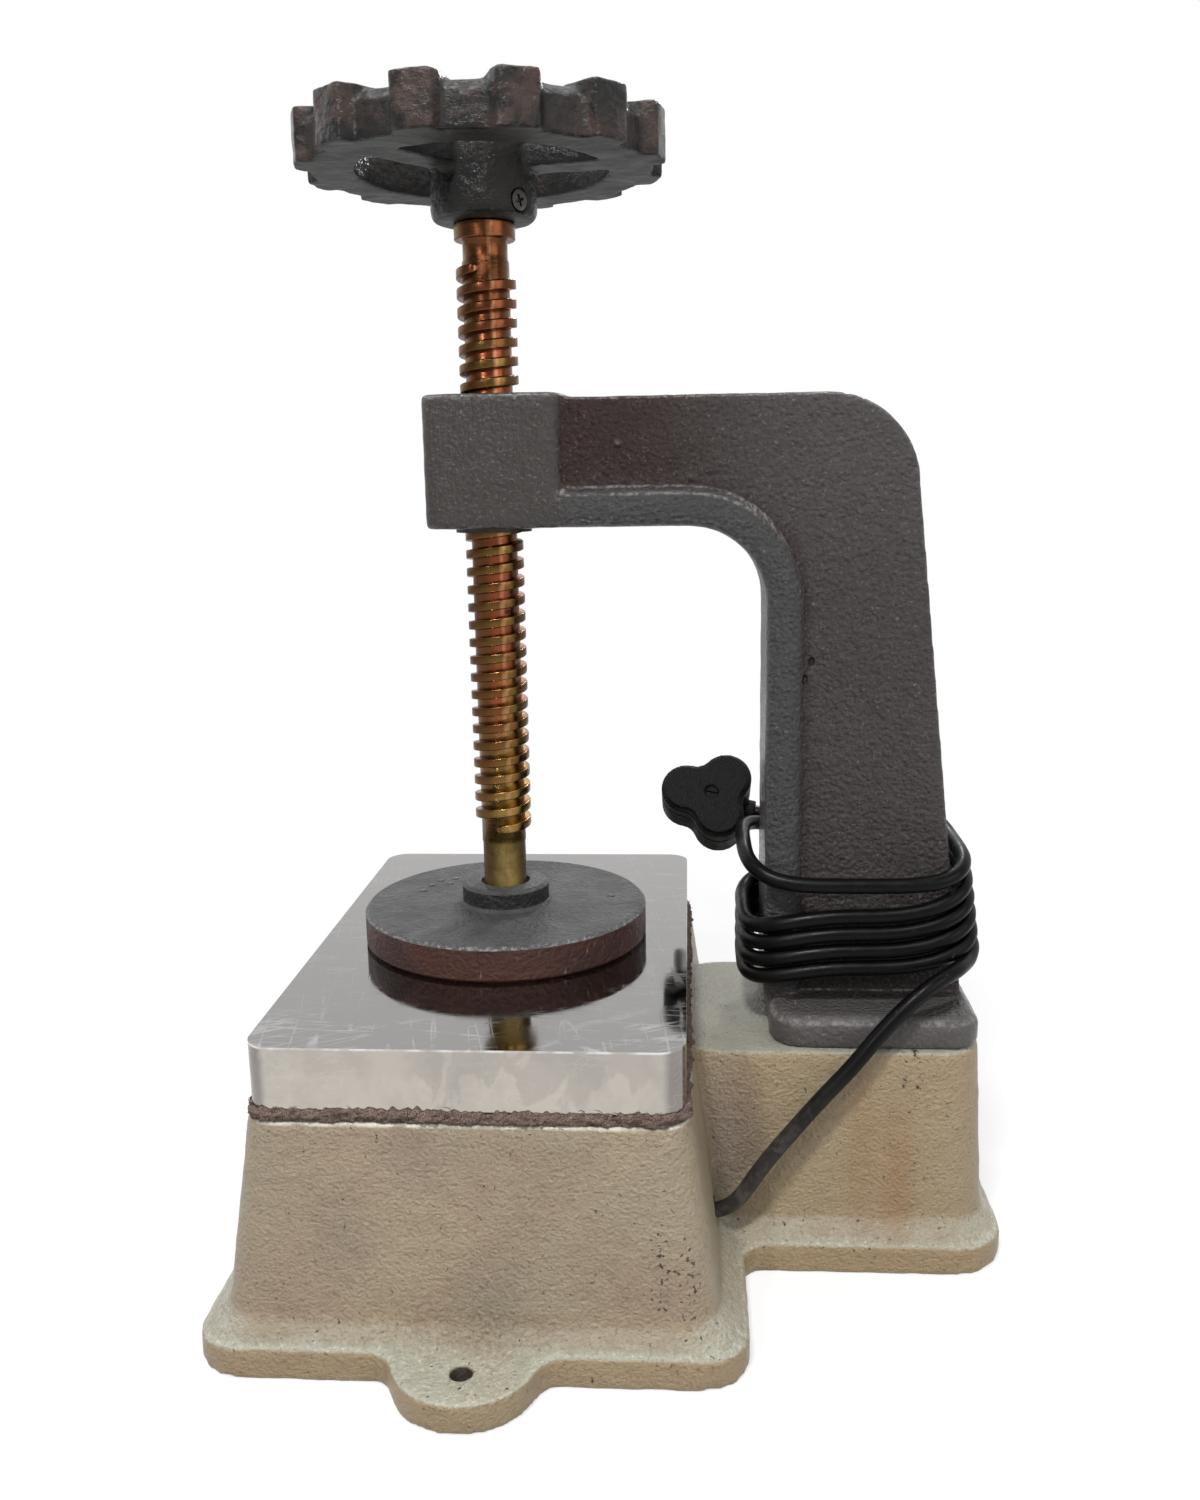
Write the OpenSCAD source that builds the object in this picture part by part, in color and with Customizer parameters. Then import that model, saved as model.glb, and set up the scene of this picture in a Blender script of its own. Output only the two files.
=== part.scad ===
// Bench vulcanizer for tube patches: a heated plate on a cast base, and a screw press on a C-shaped arm.
// Millimetres. Origin on the bench, under the press screw. +X to the arm, -Y to the user, +Z up.

/* [Base box] */
// Height of the rim of the box over the bench
base_h = 103; // [80:1:140]
// Width of the box just over its flange
box_foot_w = 202; // [190:1:240]
// Length of the box just over its flange
box_foot_l = 284; // [276:1:340]
// Corner radius of the box
box_r = 14; // [10:1:24]
// How far the rim of the box stands out round the plate
rim_margin = 2; // [0:0.5:6]
// Thickness of the cast walls
wall = 8; // [5:0.5:10]
// How far the flange stands out at the sides of the box
flange_reach = 10; // [4:0.5:14]
// How far the flange stands out at the ends of the box and round the pedestal
flange_end = 8; // [4:0.5:14]
// Thickness of the flange and of the bench ears
flange_h = 13; // [8:0.5:20]
// Corner radius of the flange
flange_r = 20; // [16:1:40]
// Height of the sloped fillet over the flange
skirt_h = 13; // [4:0.5:20]
// Distance of the bench holes from the edge of the flange
ear_hole_out = 9; // [6:0.5:16]
// Diameter of the bench holes
ear_hole_d = 9; // [6:0.5:14]
// Radius of the ears that hold the bench holes
ear_r = 30; // [24:0.5:36]
// Radius of the hollow blend between ear and flange
ear_blend_r = 10; // [5:1:20]

/* [Pedestal] */
// How far the top of the pedestal, which carries the arm, lies under the rim of the box
pedestal_drop = 4; // [1:0.5:30]
// Length of the pedestal along Y at its top
pedestal_l = 110; // [108:1:150]
// Distance of the pedestal's outer side from the screw, at its top
pedestal_reach = 216; // [216:1:260]
// How much the pedestal widens towards its flange on each side
pedestal_draft = 6; // [0:0.5:12]
// Corner radius of the pedestal
pedestal_r = 20; // [8:1:30]
// Thickness of the pedestal's top
pedestal_top = 12; // [8:0.5:18]

/* [Heating plate] */
// Width of the heating plate
plate_w = 172; // [150:1:180]
// Length of the heating plate
plate_l = 266; // [240:1:270]
// Height of the heating plate
plate_h = 26; // [20:0.5:40]
// Corner radius of the heating plate
plate_r = 11; // [4:0.5:20]
// Thickness of the packing between box and plate
packing_h = 4; // [2:0.5:6]
// Distance of the heating element from the long sides of the plate
heater_side = 28; // [27:0.5:36]
// Distance of the heating element from the ends of the plate
heater_end = 27; // [26:0.5:38]
// Thickness of the heating element
element_h = 3; // [1:0.5:5]
// Thickness of the insulation board
board_h = 4; // [2:0.5:6]
// Thickness of the clamp plate
clamp_h = 3; // [2:0.5:5]
// Diameter of the clamp studs
stud_d = 6; // [4:0.5:8]
// Diameter of the bolts that hold the plate
plate_bolt_d = 8; // [5:0.5:9]

/* [Arm] */
// Height of the top of the arm over the pedestal
arm_h = 281; // [240:1:340]
// Height of the bar of the arm
bar_h = 55; // [44:1:70]
// Distance of the column's inner face from the screw
column_x = 121; // [119:0.5:126]
// Width of the column just under the bend
column_w = 65; // [56:1:74]
// Slope of the column's outer side, in mm per mm of height
column_taper = 0.11; // [0:0.01:0.12]
// Thickness of the web
web_t = 44; // [30:1:48]
// Thickness of the rib along the inside of the arm, across the web
rib_t = 56; // [50:1:60]
// Width of the rib
rib_w = 16; // [11:0.5:22]
// Radius of the rib's long edges
rib_edge_r = 5; // [1:0.5:5]
// Inner radius of the bend of the arm
throat_r = 34; // [20:1:50]
// Outer radius of the bend of the arm
bend_r = 40; // [20:1:50]
// Width of the boss that holds the screw nut
boss_w = 60; // [54:1:70]
// How far the boss reaches out past the screw, away from the column
boss_reach = 26.5; // [23:0.5:34]
// How far the boss stands up over the bar
boss_rise = 2; // [0:0.5:6]
// Width of the foot along X
foot_w = 92; // [90:1:92]
// Length of the foot along Y
foot_l = 106; // [90:1:106]
// Thickness of the foot
foot_h = 14; // [13:0.5:22]
// Corner radius of the foot
foot_r = 14; // [6:1:20]
// Chamfer round the top of the foot
foot_chamfer = 4; // [1:0.5:5]
// Diameter of the arm bolts
arm_bolt_d = 12; // [8:0.5:12]

/* [Press screw] */
// Crest diameter of the thread
thread_d = 26; // [22:0.2:28]
// Depth of the thread
thread_depth = 2.75; // [1.5:0.05:3]
// Pitch of the right-hand thread
thread_pitch = 8; // [6:0.5:10]
// Number of turns of the thread
thread_turns = 31; // [28:1:40]
// Width of the crest along the axis
crest_w = 3.2; // [2:0.1:3.4]
// Running clearance between screw and nut
thread_gap = 0.4; // [0.3:0.05:0.5]
// Angle at which the thread starts
thread_start = 259; // [0:1:360]
// Diameter of the plain journal that turns in the disc
journal_d = 20; // [16:0.5:20]
// Length of journal that shows between disc and thread
journal_show = 21.5; // [10:0.5:40]
// Diameter of the plain neck under the wheel
neck_d = 19.5; // [16:0.5:20]
// Length of the neck
neck_h = 10; // [4:0.5:30]
// Diameter of the shoulder that the wheel sits on
shoulder_d = 26.5; // [22:0.5:32]
// Height of the shoulder
shoulder_h = 7; // [3:0.5:14]
// Diameter of the spigot in the wheel
spigot_d = 18; // [12:0.5:19]
// Outer diameter of the screw nut
nut_d = 34; // [32:0.5:40]
// How far the nut shows under the boss
nut_drop = 2; // [1:0.5:6]

/* [Handwheel] */
// Radius over the lobes
wheel_r = 79; // [76:1:95]
// Radius between the lobes
valley_r = 73; // [66:0.5:74]
// Inner radius of the rim
rim_inner_r = 54; // [46:1:56]
// Number of lobes
lobe_count = 12; // [6:1:14]
// Width of a lobe at its outside
lobe_w = 15.5; // [10:0.5:18]
// Width of a lobe where it leaves the rim
lobe_foot_w = 20; // [18:0.5:24]
// Height of the lobes
lobe_h = 21.5; // [18:0.5:30]
// Height of the rim between the lobes
rim_h = 19; // [16:0.5:24]
// Width of a spoke
spoke_w = 18; // [10:0.5:26]
// Thickness of a spoke
spoke_h = 11; // [6:0.5:15]
// Diameter of the hub
hub_d = 46; // [38:1:56]
// How far the hub hangs under the rim
hub_drop = 20; // [16:0.5:30]
// Angle of the first lobe, from the front towards the column
wheel_angle = 19; // [0:1:30]
// Diameter of the set screw's shank
set_screw_d = 6; // [4:0.5:7]
// Angle of the set screw, from the front towards the column
set_screw_angle = 52; // [0:1:90]

/* [Pressure disc] */
// Diameter of the disc
disc_d = 133; // [100:1:150]
// Thickness of the disc
disc_h = 16.3; // [12:0.1:24]
// Diameter of the collar on the disc
collar_d = 41; // [32:0.5:48]
// Height of the collar
collar_h = 10; // [8:0.5:20]
// Thickness of disc left under the journal
disc_floor = 6; // [3:0.5:8]

/* [Cord and plug] */
// Diameter of the cord
cord_d = 7; // [6:0.1:7.2]
// Rise of the winding per turn
winding_pitch = 8; // [7.9:0.1:9]
// Thickness of the plug body
plug_body_h = 15; // [12:0.5:20]
// Thickness of the plug cover
plug_cover_h = 9; // [6:0.5:12]
// Radius of the plug's lobes
plug_lobe_r = 12.5; // [10:0.5:14]

/* [Hidden] */
$fn = 64;

// Fits
slide_gap = 0.1;
running_gap = 0.3;
rest_gap = 0.1;
bolt_gap = 0.5;
thin = 0.01;
over = 1;

// Levels over the bench
plate_z = base_h + packing_h;
plate_top = plate_z + plate_h;
disc_z = plate_top + rest_gap;
disc_top = disc_z + disc_h;
collar_top = disc_top + collar_h;
journal_z = disc_z + disc_floor + running_gap;
thread_z = collar_top + journal_show;
thread_top = thread_z + (thread_turns + 1) * thread_pitch;
shoulder_z = thread_top + neck_h;
hub_z = shoulder_z + shoulder_h;
rim_z = hub_z + hub_drop;
pedestal_h = base_h - pedestal_drop;
arm_top = pedestal_h + arm_h;
bar_z = arm_top - bar_h;
foot_top = pedestal_h + foot_h;

// Base box
box_top_w = plate_w + 2 * rim_margin;
box_top_l = plate_l + 2 * rim_margin;
flange_w = box_foot_w + 2 * flange_reach;
flange_l = box_foot_l + 2 * flange_end - 2;
ear_hole_y = flange_l / 2 + ear_hole_out;
ear_y = flange_l / 2 - 2;
skirt_dive = 3;
skirt_top = flange_h + skirt_h;
skirt_at = (skirt_top - flange_h) / (base_h - flange_h);
// Value part of the way from a to b
function between(a, b, part) = a + (b - a) * part;

// Pedestal, which starts inside the wall of the box
pedestal_in = box_top_w / 2 - wall / 2;
pedestal_foot_l = pedestal_l + 2 * pedestal_draft;
pedestal_foot_reach = pedestal_reach + pedestal_draft / 2;
pedestal_chamfer = 3;

// Heater stack in the recess under the plate, from its roof down
stack_gap = 2;
element_w = plate_w - 2 * heater_side;
element_l = plate_l - 2 * heater_end;
recess_w = element_w + 2 * stack_gap;
recess_l = element_l + 2 * stack_gap;
recess_h = element_h + board_h + clamp_h;
element_z = plate_z + board_h + clamp_h;
stud_x = element_w / 2 - 18;
stud_y = element_l / 2 - 26;
stud_bite = min(8, plate_h - recess_h - 3);
stud_hang = 10;
nut_h = 5;
nut_flat_r = stud_d * 0.95;
terminal_pin_d = 5;
terminal_pin_hang = 8;
plate_bolt_x = (recess_w + box_top_w - 2 * wall) / 4;
plate_bolt_y = (recess_l + box_top_l - 2 * wall) / 4;
plate_bolt_bite = 12;
lug_r = (box_top_w - 2 * wall) / 2 - plate_bolt_x;
lug_h = 18;
washer_h = 1.6;

// Bottom cover, clear of the bench
cover_h = 1.5;
cover_z = 2.5;
post_r = 8;
post_h = 16;
post_x = box_foot_w / 2 - wall - post_r + 2;
post_y = box_foot_l / 2 - wall - post_r + 2;
cover_screw_d = 5;
cover_screw_head_h = 1.9;

// Terminal block and cord entry, on a pad inside the box wall
pad_x = 78;
pad_y0 = -56;
pad_y1 = 12;
pad_z0 = 30;
pad_z1 = 62;
block_t = 18;
block_y0 = -40;
block_y1 = -6;
block_z0 = 36;
block_z1 = 58;
terminal_y = [-34, -23, -12];
terminal_x = pad_x - block_t / 2;
terminal_pin_x = element_w / 2 - 13;
lead_d = 4;
earth_y = 5;
earth_z = 50;
earth_washer = 10;
entry_y = -68;
entry_z = 29;
grommet_d = 12;
grommet_out = 98.5;
grommet_in = 86;
pad_screw_d = 3.5;
pad_screw_bite = 8;
pad_screw_head_d = 6.5;
pad_screw_head_h = 2;
block_screw_places = [for (y = [-28.5, -17.5]) [y, block_z0 + 5]];
clamp_y = -47;
clamp_w = 6;
clamp_z = 45;
clamp_screw_places = [for (s = [-1, 1]) [clamp_y, clamp_z + s * 8]];

// Arm
foot_x = column_x + 2;
arm_bolt_x = foot_x + foot_w / 2;
arm_bolt_dx = 26;
arm_bolt_dy = 32;
arm_bolt_bite = foot_h - 3;
arm_bolt_head_h = 7.5;
arm_washer_h = 2.5;
bend_x = column_x + column_w - bend_r;
bend_z = arm_top - bend_r;
throat_x = column_x - throat_r;
throat_z = bar_z - throat_r;
boss_x = boss_w / 2 - boss_reach;
nut_z = bar_z - nut_drop;
nut_len = bar_h + boss_rise + nut_drop;

// Thread profile along the axis: root, flank, crest, flank
thread_steps = 20;
flank_w = 0.8;
root_w = thread_pitch - crest_w - 2 * flank_w;
root_r = thread_d / 2 - thread_depth;

// Set screw in the hub: height over the hub's end, head and depth of its counterbore
set_screw_up = 6.5;
set_screw_head_d = 8.4;
set_screw_head_h = 3;
set_screw_sunk = 4;
cross_w = 1.2;
cross_l = 5;

// Disc retaining screw, on the far side of the collar
keeper_d = 6;
keeper_z = disc_top + collar_h / 2;
groove_w = keeper_d - 1;
groove_depth = 2;

// Plug, tucked behind the column with its pins pointing away and down
plug_place = [98.5, 44.5, foot_top + 75.2];
plug_tilt = -125;
plug_roll = 192;
earth_pin_reach = 16.7;
live_pin_in = 5.5;
live_pin_dy = 9.5;
plug_blend_r = 8;
plug_outlet = plug_lobe_r + live_pin_in + 4;
plug_outlet_z = plug_body_h / 2;
plug_screw_d = 6;
// A point of the plug's own frame, in the frame of the part
function plug_world(p) = let (
    x = p[0] * cos(plug_roll) - p[1] * sin(plug_roll),
    y = p[0] * sin(plug_roll) + p[1] * cos(plug_roll)
) plug_place + [x, y * cos(plug_tilt) - p[2] * sin(plug_tilt), y * sin(plug_tilt) + p[2] * cos(plug_tilt)];

// Cord. The lead's places are chosen by hand, from the grommet to the front corner of the column.
// Each has its X, its Y and its share of the rise to the winding.
winding_z = foot_top + 15.3;
lead_top = winding_z + 3.7;
lead_places = [
    [grommet_out, entry_y, 0], [103.5, -68.3, 0.015], [109, -68.8, 0.065], [119, -68.5, 0.214],
    [131, -67, 0.359], [144, -65, 0.505], [157, -63, 0.641], [169, -60, 0.777], [181, -57, 0.893],
    [193, -52, 0.971], [204, -43, 1]
];
lead_route = [for (p = lead_places) [p[0], p[1], between(entry_z, lead_top, p[2])]];
inner_route = [
    [grommet_out, entry_y, entry_z], [92, entry_y, entry_z], [85, entry_y, entry_z], [78.5, -66.5, 31.5],
    [74.8, -61.5, 37], [74, -55.5, 42.8], [74, -50, 45], [74, -40, 45]
];
// The winding is a tilted helix round the column, with the last turn lifted at the left.
winding_from = -0.1;
winding_to = 5.19;
winding_steps = 24;
winding_left = 112.5;
winding_right = 211;
winding_lean = 2;
winding_flare = 0.13;
winding_depth = 36;
winding_square = 4.5;
winding_tilt = 10;
winding_tilt_at = 0.07;
lift_height = 24;
lift_at = 4.48;
lift_width = 0.23;
tail_rise = 8;
tail_from = 4.98;
tail_over = 0.22;
function ease(x) = let (c = min(1, max(0, x))) c * c * (3 - 2 * c);
function winding_lift(t) = lift_height * exp(-pow((t - lift_at) / lift_width, 2));
function winding_height(t) = winding_z + winding_pitch * t + winding_tilt * cos(360 * (t - winding_tilt_at))
    + winding_lift(t) + tail_rise * ease((t - tail_from) / tail_over);
function bulge(s) = sign(s) * pow(abs(s), 2 / winding_square);
function winding_point(t) = let (
    z = winding_height(t),
    right = winding_right + (winding_z + 41.7 - z) * winding_flare - winding_lean * sin(360 * t),
    a = (right - winding_left) / 2
) [winding_left + a + a * bulge(cos(360 * t)), winding_depth * bulge(sin(360 * t)), z];
function winding_turns(steps) =
    [for (i = [0 : round((winding_to - winding_from) * steps)]) winding_point(winding_from + i / steps)];
// The tail's places, as X, Y and height over the foot, are chosen by hand and end on the plug's outlet.
tail_places = [[172, 41.5, 70], [156, 45.5, 69], [141, 48, 66.5]];
tail_end = [for (d = [1, 0]) plug_world([-plug_outlet - d * cord_d, 0, plug_outlet_z])];
tail_route = concat([for (p = tail_places) p + [0, 0, foot_top]], tail_end);
winding_route = concat(winding_turns(winding_steps), tail_route);
// Direction where the lead becomes the winding, shared by both
winding_start = unit(winding_route[1] - lead_route[len(lead_route) - 1]);

// Least gap of the winding to itself, between points of its middle line a quarter turn or more apart
gap_steps = 48;
tail_steps = 3;
gap_points = concat(winding_turns(gap_steps), [
    for (i = [0 : len(tail_route) - 2], k = [1 : tail_steps])
        between(tail_route[i], tail_route[i + 1], k / tail_steps)
]);
winding_gap = min([
    for (i = [0 : len(gap_points) - 1])
        for (j = [i + gap_steps / 4 : len(gap_points) - 1])
            norm(gap_points[j] - gap_points[i])
]) - cord_d;
echo(winding_gap = winding_gap);

// Shared shapes

module round_rect(w, l, r) {
    square([w - 2 * r, l], center = true);
    square([w, l - 2 * r], center = true);
    for (x = [-1, 1], y = [-1, 1])
        translate([x * (w / 2 - r), y * (l / 2 - r)]) circle(r);
}

// Thin rounded layer, for the hull of a drafted box
module layer(z, w, l, r) {
    translate([0, 0, z]) linear_extrude(thin) round_rect(w, l, r, $fn = 32);
}

module ring(r_out, r_in, z, h) {
    translate([0, 0, z]) difference() {
        cylinder(h = h, r = r_out);
        translate([0, 0, -over]) cylinder(h = h + 2 * over, r = r_in);
    }
}

// Upright cylinder from height z
module rod(z, h, d) {
    translate([0, 0, z]) cylinder(h = h, d = d);
}

// Copies at the four corners of a rectangle
module at_corners(x, y) {
    for (sx = [-1, 1], sy = [-1, 1]) translate([sx * x, sy * y, 0]) children();
}

// Turns what points along +Z to point along +X
module along_x() {
    rotate([0, 90, 0]) children();
}

function unit(v) = v / norm(v);
function tangent(path, i) = unit(path[min(i + 1, len(path) - 1)] - path[max(i - 1, 0)]);
// Ring of points round a route, with its first side level
function route_ring(centre, along, r, sides) =
    let (side = unit(cross(along, [0, 0, 1])), up = cross(side, along))
    [for (k = [0 : sides - 1]) centre + r * (cos(360 * k / sides) * side + sin(360 * k / sides) * up)];

// Triangles of a flat face, all from its first corner
function fan(face) = [for (k = [1 : len(face) - 2]) [face[0], face[k], face[k + 1]]];

// Triangles of a tube whose rings are numbered 0 to last
function tube_faces(last, sides) = concat(
    [
        for (i = [0 : last - 1], k = [0 : sides - 1])
            let (a = i * sides + k, b = i * sides + (k + 1) % sides)
                each [[a, a + sides, b], [b, a + sides, b + sides]]
    ],
    fan([for (k = [0 : sides - 1]) k]),
    fan([for (k = [sides - 1 : -1 : 0]) last * sides + k])
);

// Tube swept along a route that is nowhere vertical, with the tangents of its two ends given
module tube(path, d, sides, from, to) {
    last = len(path) - 1;
    points = [
        for (i = [0 : last])
            each route_ring(path[i], i == 0 ? from : i == last ? to : tangent(path, i), d / 2, sides)
    ];
    polyhedron(points = points, faces = tube_faces(last, sides), convexity = 10);
}

// Threaded bar from z = 0, with plain root rings at both ends. Grown by gap on every side, it cuts the nut.
module thread(turns, gap) {
    steps = thread_steps;
    total = turns * steps;
    r_root = root_r + gap;
    r_crest = thread_d / 2 + gap;
    marks = [gap, root_w - gap, root_w + flank_w - gap, root_w + flank_w + crest_w + gap];
    radii = [r_root, r_root, r_crest, r_crest];
    top = (turns + 1) * thread_pitch + thread_pitch / 2;
    bottom = -thread_pitch / 2;
    // Corners of the profile along the helix, then the root line of one more turn, then the two end rings
    function at(i, r, z) = [r * cos(360 * i / steps), r * sin(360 * i / steps), z];
    function rise(i) = thread_pitch * i / steps;
    helix = [for (i = [0 : total], j = [0 : 3]) at(i, radii[j], rise(i) + marks[j])];
    extra = [for (i = [total + 1 : total + steps]) at(i, r_root, rise(i) + gap)];
    rings = [for (z = [bottom, top], k = [0 : steps - 1]) at(k, r_root, z)];
    function v(i, j) = i * 4 + j;
    function root(i) = i <= total ? v(i, 0) : 4 * (total + 1) + i - total - 1;
    function low(k) = 4 * (total + 1) + steps + k % steps;
    function high(k) = low(k) + steps;
    sides = [
        for (i = [0 : total - 1], j = [0 : 2]) each fan([v(i, j), v(i, j + 1), v(i + 1, j + 1), v(i + 1, j)])
    ];
    flanks = [
        for (i = [0 : total - 1]) each fan([v(i, 3), root(i + steps), root(i + 1 + steps), v(i + 1, 3)])
    ];
    low_wall = concat(
        [for (k = [0 : steps - 2]) each fan([low(k), root(k), root(k + 1), low(k + 1)])],
        fan([root(steps - 1), root(steps), v(0, 1), v(0, 0), low(0), low(steps - 1)]),
        fan([v(0, 1), root(steps), v(0, 3), v(0, 2)])
    );
    high_wall = concat(
        [for (k = [1 : steps - 1]) each fan([root(total + k), high(k), high(k + 1), root(total + k + 1)])],
        fan([root(total + 1), v(total, 0), v(total, 1), root(total + steps), high(0), high(1)]),
        fan([v(total, 1), v(total, 2), v(total, 3), root(total + steps)])
    );
    ends = concat(fan([for (k = [0 : steps - 1]) low(k)]), fan([for (k = [steps - 1 : -1 : 0]) high(k)]));
    faces = concat(sides, flanks, low_wall, high_wall, ends);
    polyhedron(points = concat(helix, extra, rings), faces = faces, convexity = 20);
}

// Base

// Flange with its bench ears, its inside corners blended
module base_outline() {
    reach = pedestal_foot_reach + flange_end - pedestal_in;
    offset(r = -ear_blend_r) offset(delta = ear_blend_r) {
        round_rect(flange_w, flange_l, flange_r);
        translate([pedestal_in + reach / 2, 0])
            round_rect(reach, pedestal_foot_l + 2 * flange_end, flange_r + 5);
        for (s = [-1, 1]) translate([0, s * ear_y]) circle(ear_r);
    }
}

// One drafted layer of the pedestal, at height z
module pedestal_layer(z, reach, l, r) {
    translate([(pedestal_in + reach) / 2, 0, 0]) layer(z, reach - pedestal_in, l, r);
}

module box_block() {
    hull() {
        layer(flange_h - thin, box_foot_w, box_foot_l, box_r + 2);
        layer(base_h - thin, box_top_w, box_top_l, box_r);
    }
    hull() {
        layer(flange_h - thin, flange_w - 4, flange_l - 4, flange_r);
        layer(
            skirt_top, between(box_foot_w, box_top_w, skirt_at) - skirt_dive,
            between(box_foot_l, box_top_l, skirt_at) - skirt_dive, box_r
        );
    }
}

module pedestal_block() {
    hull() {
        pedestal_layer(flange_h - thin, pedestal_foot_reach, pedestal_foot_l, pedestal_r);
        pedestal_layer(pedestal_h - pedestal_chamfer, pedestal_reach, pedestal_l, pedestal_r);
        pedestal_layer(pedestal_h - thin, pedestal_reach - 1, pedestal_l - 2, pedestal_r);
    }
    hull() {
        pedestal_layer(
            flange_h - thin, pedestal_foot_reach + flange_end - 2,
            pedestal_foot_l + 2 * flange_end - 4, flange_r + 5
        );
        pedestal_layer(
            skirt_top, between(pedestal_foot_reach, pedestal_reach, skirt_at) - skirt_dive / 2,
            between(pedestal_foot_l, pedestal_l, skirt_at) - skirt_dive, pedestal_r
        );
    }
}

// Space inside the box, less the lugs, posts and pad that stand in it
module box_hollow() {
    difference() {
        hull() {
            layer(-over, box_foot_w - 2 * wall, box_foot_l - 2 * wall, box_r - 6);
            layer(base_h + over, box_top_w - 2 * wall, box_top_l - 2 * wall, box_r - 6);
        }
        for (sx = [-1, 1], sy = [-1, 1]) {
            translate([sx * plate_bolt_x, sy * plate_bolt_y, base_h - lug_h]) {
                cylinder(h = lug_h, r = lug_r);
                translate([sx > 0 ? 0 : -2 * lug_r, -lug_r, 0]) cube([2 * lug_r, 2 * lug_r, lug_h]);
            }
            translate([sx * post_x, sy * post_y, cover_z + cover_h]) cylinder(h = post_h, r = post_r);
        }
        translate([pad_x, pad_y0, pad_z0]) cube([box_foot_w / 2 - pad_x, pad_y1 - pad_y0, pad_z1 - pad_z0]);
    }
}

module pedestal_hollow() {
    x0 = box_foot_w / 2 + wall / 2;
    x1 = pedestal_reach - wall;
    translate([(x0 + x1) / 2, 0, -over]) linear_extrude(pedestal_h - pedestal_top + over)
        round_rect(x1 - x0, pedestal_l - 2 * wall, pedestal_r - wall);
}

module base_casting() {
    color("#b8ab8a") difference() {
        union() {
            linear_extrude(flange_h) base_outline();
            box_block();
            pedestal_block();
        }
        box_hollow();
        pedestal_hollow();
        for (s = [-1, 1]) translate([0, s * ear_hole_y, 0]) rod(-over, flange_h + 2 * over, ear_hole_d);
        at_corners(plate_bolt_x, plate_bolt_y)
            rod(base_h - lug_h - over, lug_h + 2 * over, plate_bolt_d + 2 * bolt_gap);
        at_corners(post_x, post_y) rod(cover_z, post_h - 2, cover_screw_d + 2 * slide_gap);
        translate([arm_bolt_x, 0, 0]) at_corners(arm_bolt_dx, arm_bolt_dy)
            rod(pedestal_h - pedestal_top - over, pedestal_top + 2 * over, arm_bolt_d + 2 * bolt_gap);
        translate([pad_x, entry_y, entry_z]) along_x() rod(0, 40, grommet_d + 2 * slide_gap);
        pad_screw_holes();
    }
}

// Holes in the pad for the screws of the terminal block, the cord clamp and the earth
module pad_screw_holes() {
    for (p = concat(block_screw_places, clamp_screw_places, [[earth_y, earth_z]]))
        translate([pad_x, p[0], p[1]]) along_x()
            rod(-over, pad_screw_bite + over, pad_screw_d + 2 * slide_gap);
}

// Pan-head screw that goes into the pad along +X, its head against x = 0
module pad_screw(grip) {
    along_x() {
        rod(-pad_screw_head_h, pad_screw_head_h, pad_screw_head_d);
        cylinder(h = grip + pad_screw_bite - over, d = pad_screw_d);
    }
}

module bottom_cover() {
    color("#8d9092") difference() {
        translate([0, 0, cover_z]) linear_extrude(cover_h)
            round_rect(box_foot_w - 2 * wall - 2, box_foot_l - 2 * wall - 2, box_r - 4);
        at_corners(post_x, post_y) rod(cover_z - over, cover_h + 2 * over, cover_screw_d + bolt_gap);
    }
}

module bottom_cover_screws() {
    color("#a6a8aa") at_corners(post_x, post_y) {
        rod(cover_z - cover_screw_head_h, cover_screw_head_h, 1.8 * cover_screw_d);
        rod(cover_z - slide_gap, post_h - 4, cover_screw_d);
    }
}

// Heating plate and heater

module packing_strip() {
    color("#6b5648") translate([0, 0, base_h]) linear_extrude(packing_h) difference() {
        round_rect(plate_w, plate_l, plate_r);
        round_rect(box_top_w - 2 * wall, box_top_l - 2 * wall, box_r - 6);
    }
}

module heating_plate() {
    color("#c3c3c2") difference() {
        translate([0, 0, plate_z]) linear_extrude(plate_h) round_rect(plate_w, plate_l, plate_r);
        translate([0, 0, plate_z - over]) linear_extrude(recess_h + over) round_rect(recess_w, recess_l, 6);
        at_corners(stud_x, stud_y) rod(plate_z, recess_h + stud_bite + over, stud_d + 2 * slide_gap);
        at_corners(plate_bolt_x, plate_bolt_y)
            rod(plate_z - over, plate_bolt_bite + 2 * over, plate_bolt_d + 2 * slide_gap);
    }
}

// Flat layer of the heater with its stud holes, and clearance holes for the terminal pins where it has them
module heater_layer(z, h, pin_holes) {
    translate([0, 0, z]) linear_extrude(h) difference() {
        round_rect(element_w, element_l, 5);
        at_corners(stud_x, stud_y) circle(d = stud_d + bolt_gap);
        if (pin_holes)
            for (i = [0, 1]) translate([terminal_pin_x, terminal_y[i]]) circle(d = terminal_pin_d + 2);
    }
}

module heating_element() {
    color("#b59a6a") {
        heater_layer(element_z, element_h, false);
        for (i = [0, 1])
            translate([terminal_pin_x, terminal_y[i], plate_z - terminal_pin_hang])
                cylinder(h = element_z - plate_z + terminal_pin_hang + thin, d = terminal_pin_d);
    }
}

module insulation_board() {
    color("#d8d2c4") heater_layer(plate_z + clamp_h, board_h, true);
}

module clamp_plate() {
    color("#84878a") heater_layer(plate_z, clamp_h, true);
}

module clamp_studs() {
    color("#9a9c9e") at_corners(stud_x, stud_y)
        rod(plate_z - stud_hang, stud_hang + recess_h + stud_bite, stud_d);
}

module clamp_nuts() {
    color("#a5a29a") at_corners(stud_x, stud_y) translate([0, 0, plate_z - nut_h]) difference() {
        cylinder(h = nut_h, r = nut_flat_r, $fn = 6);
        rod(-over, nut_h + 2 * over, stud_d + 2 * slide_gap);
    }
}

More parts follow.
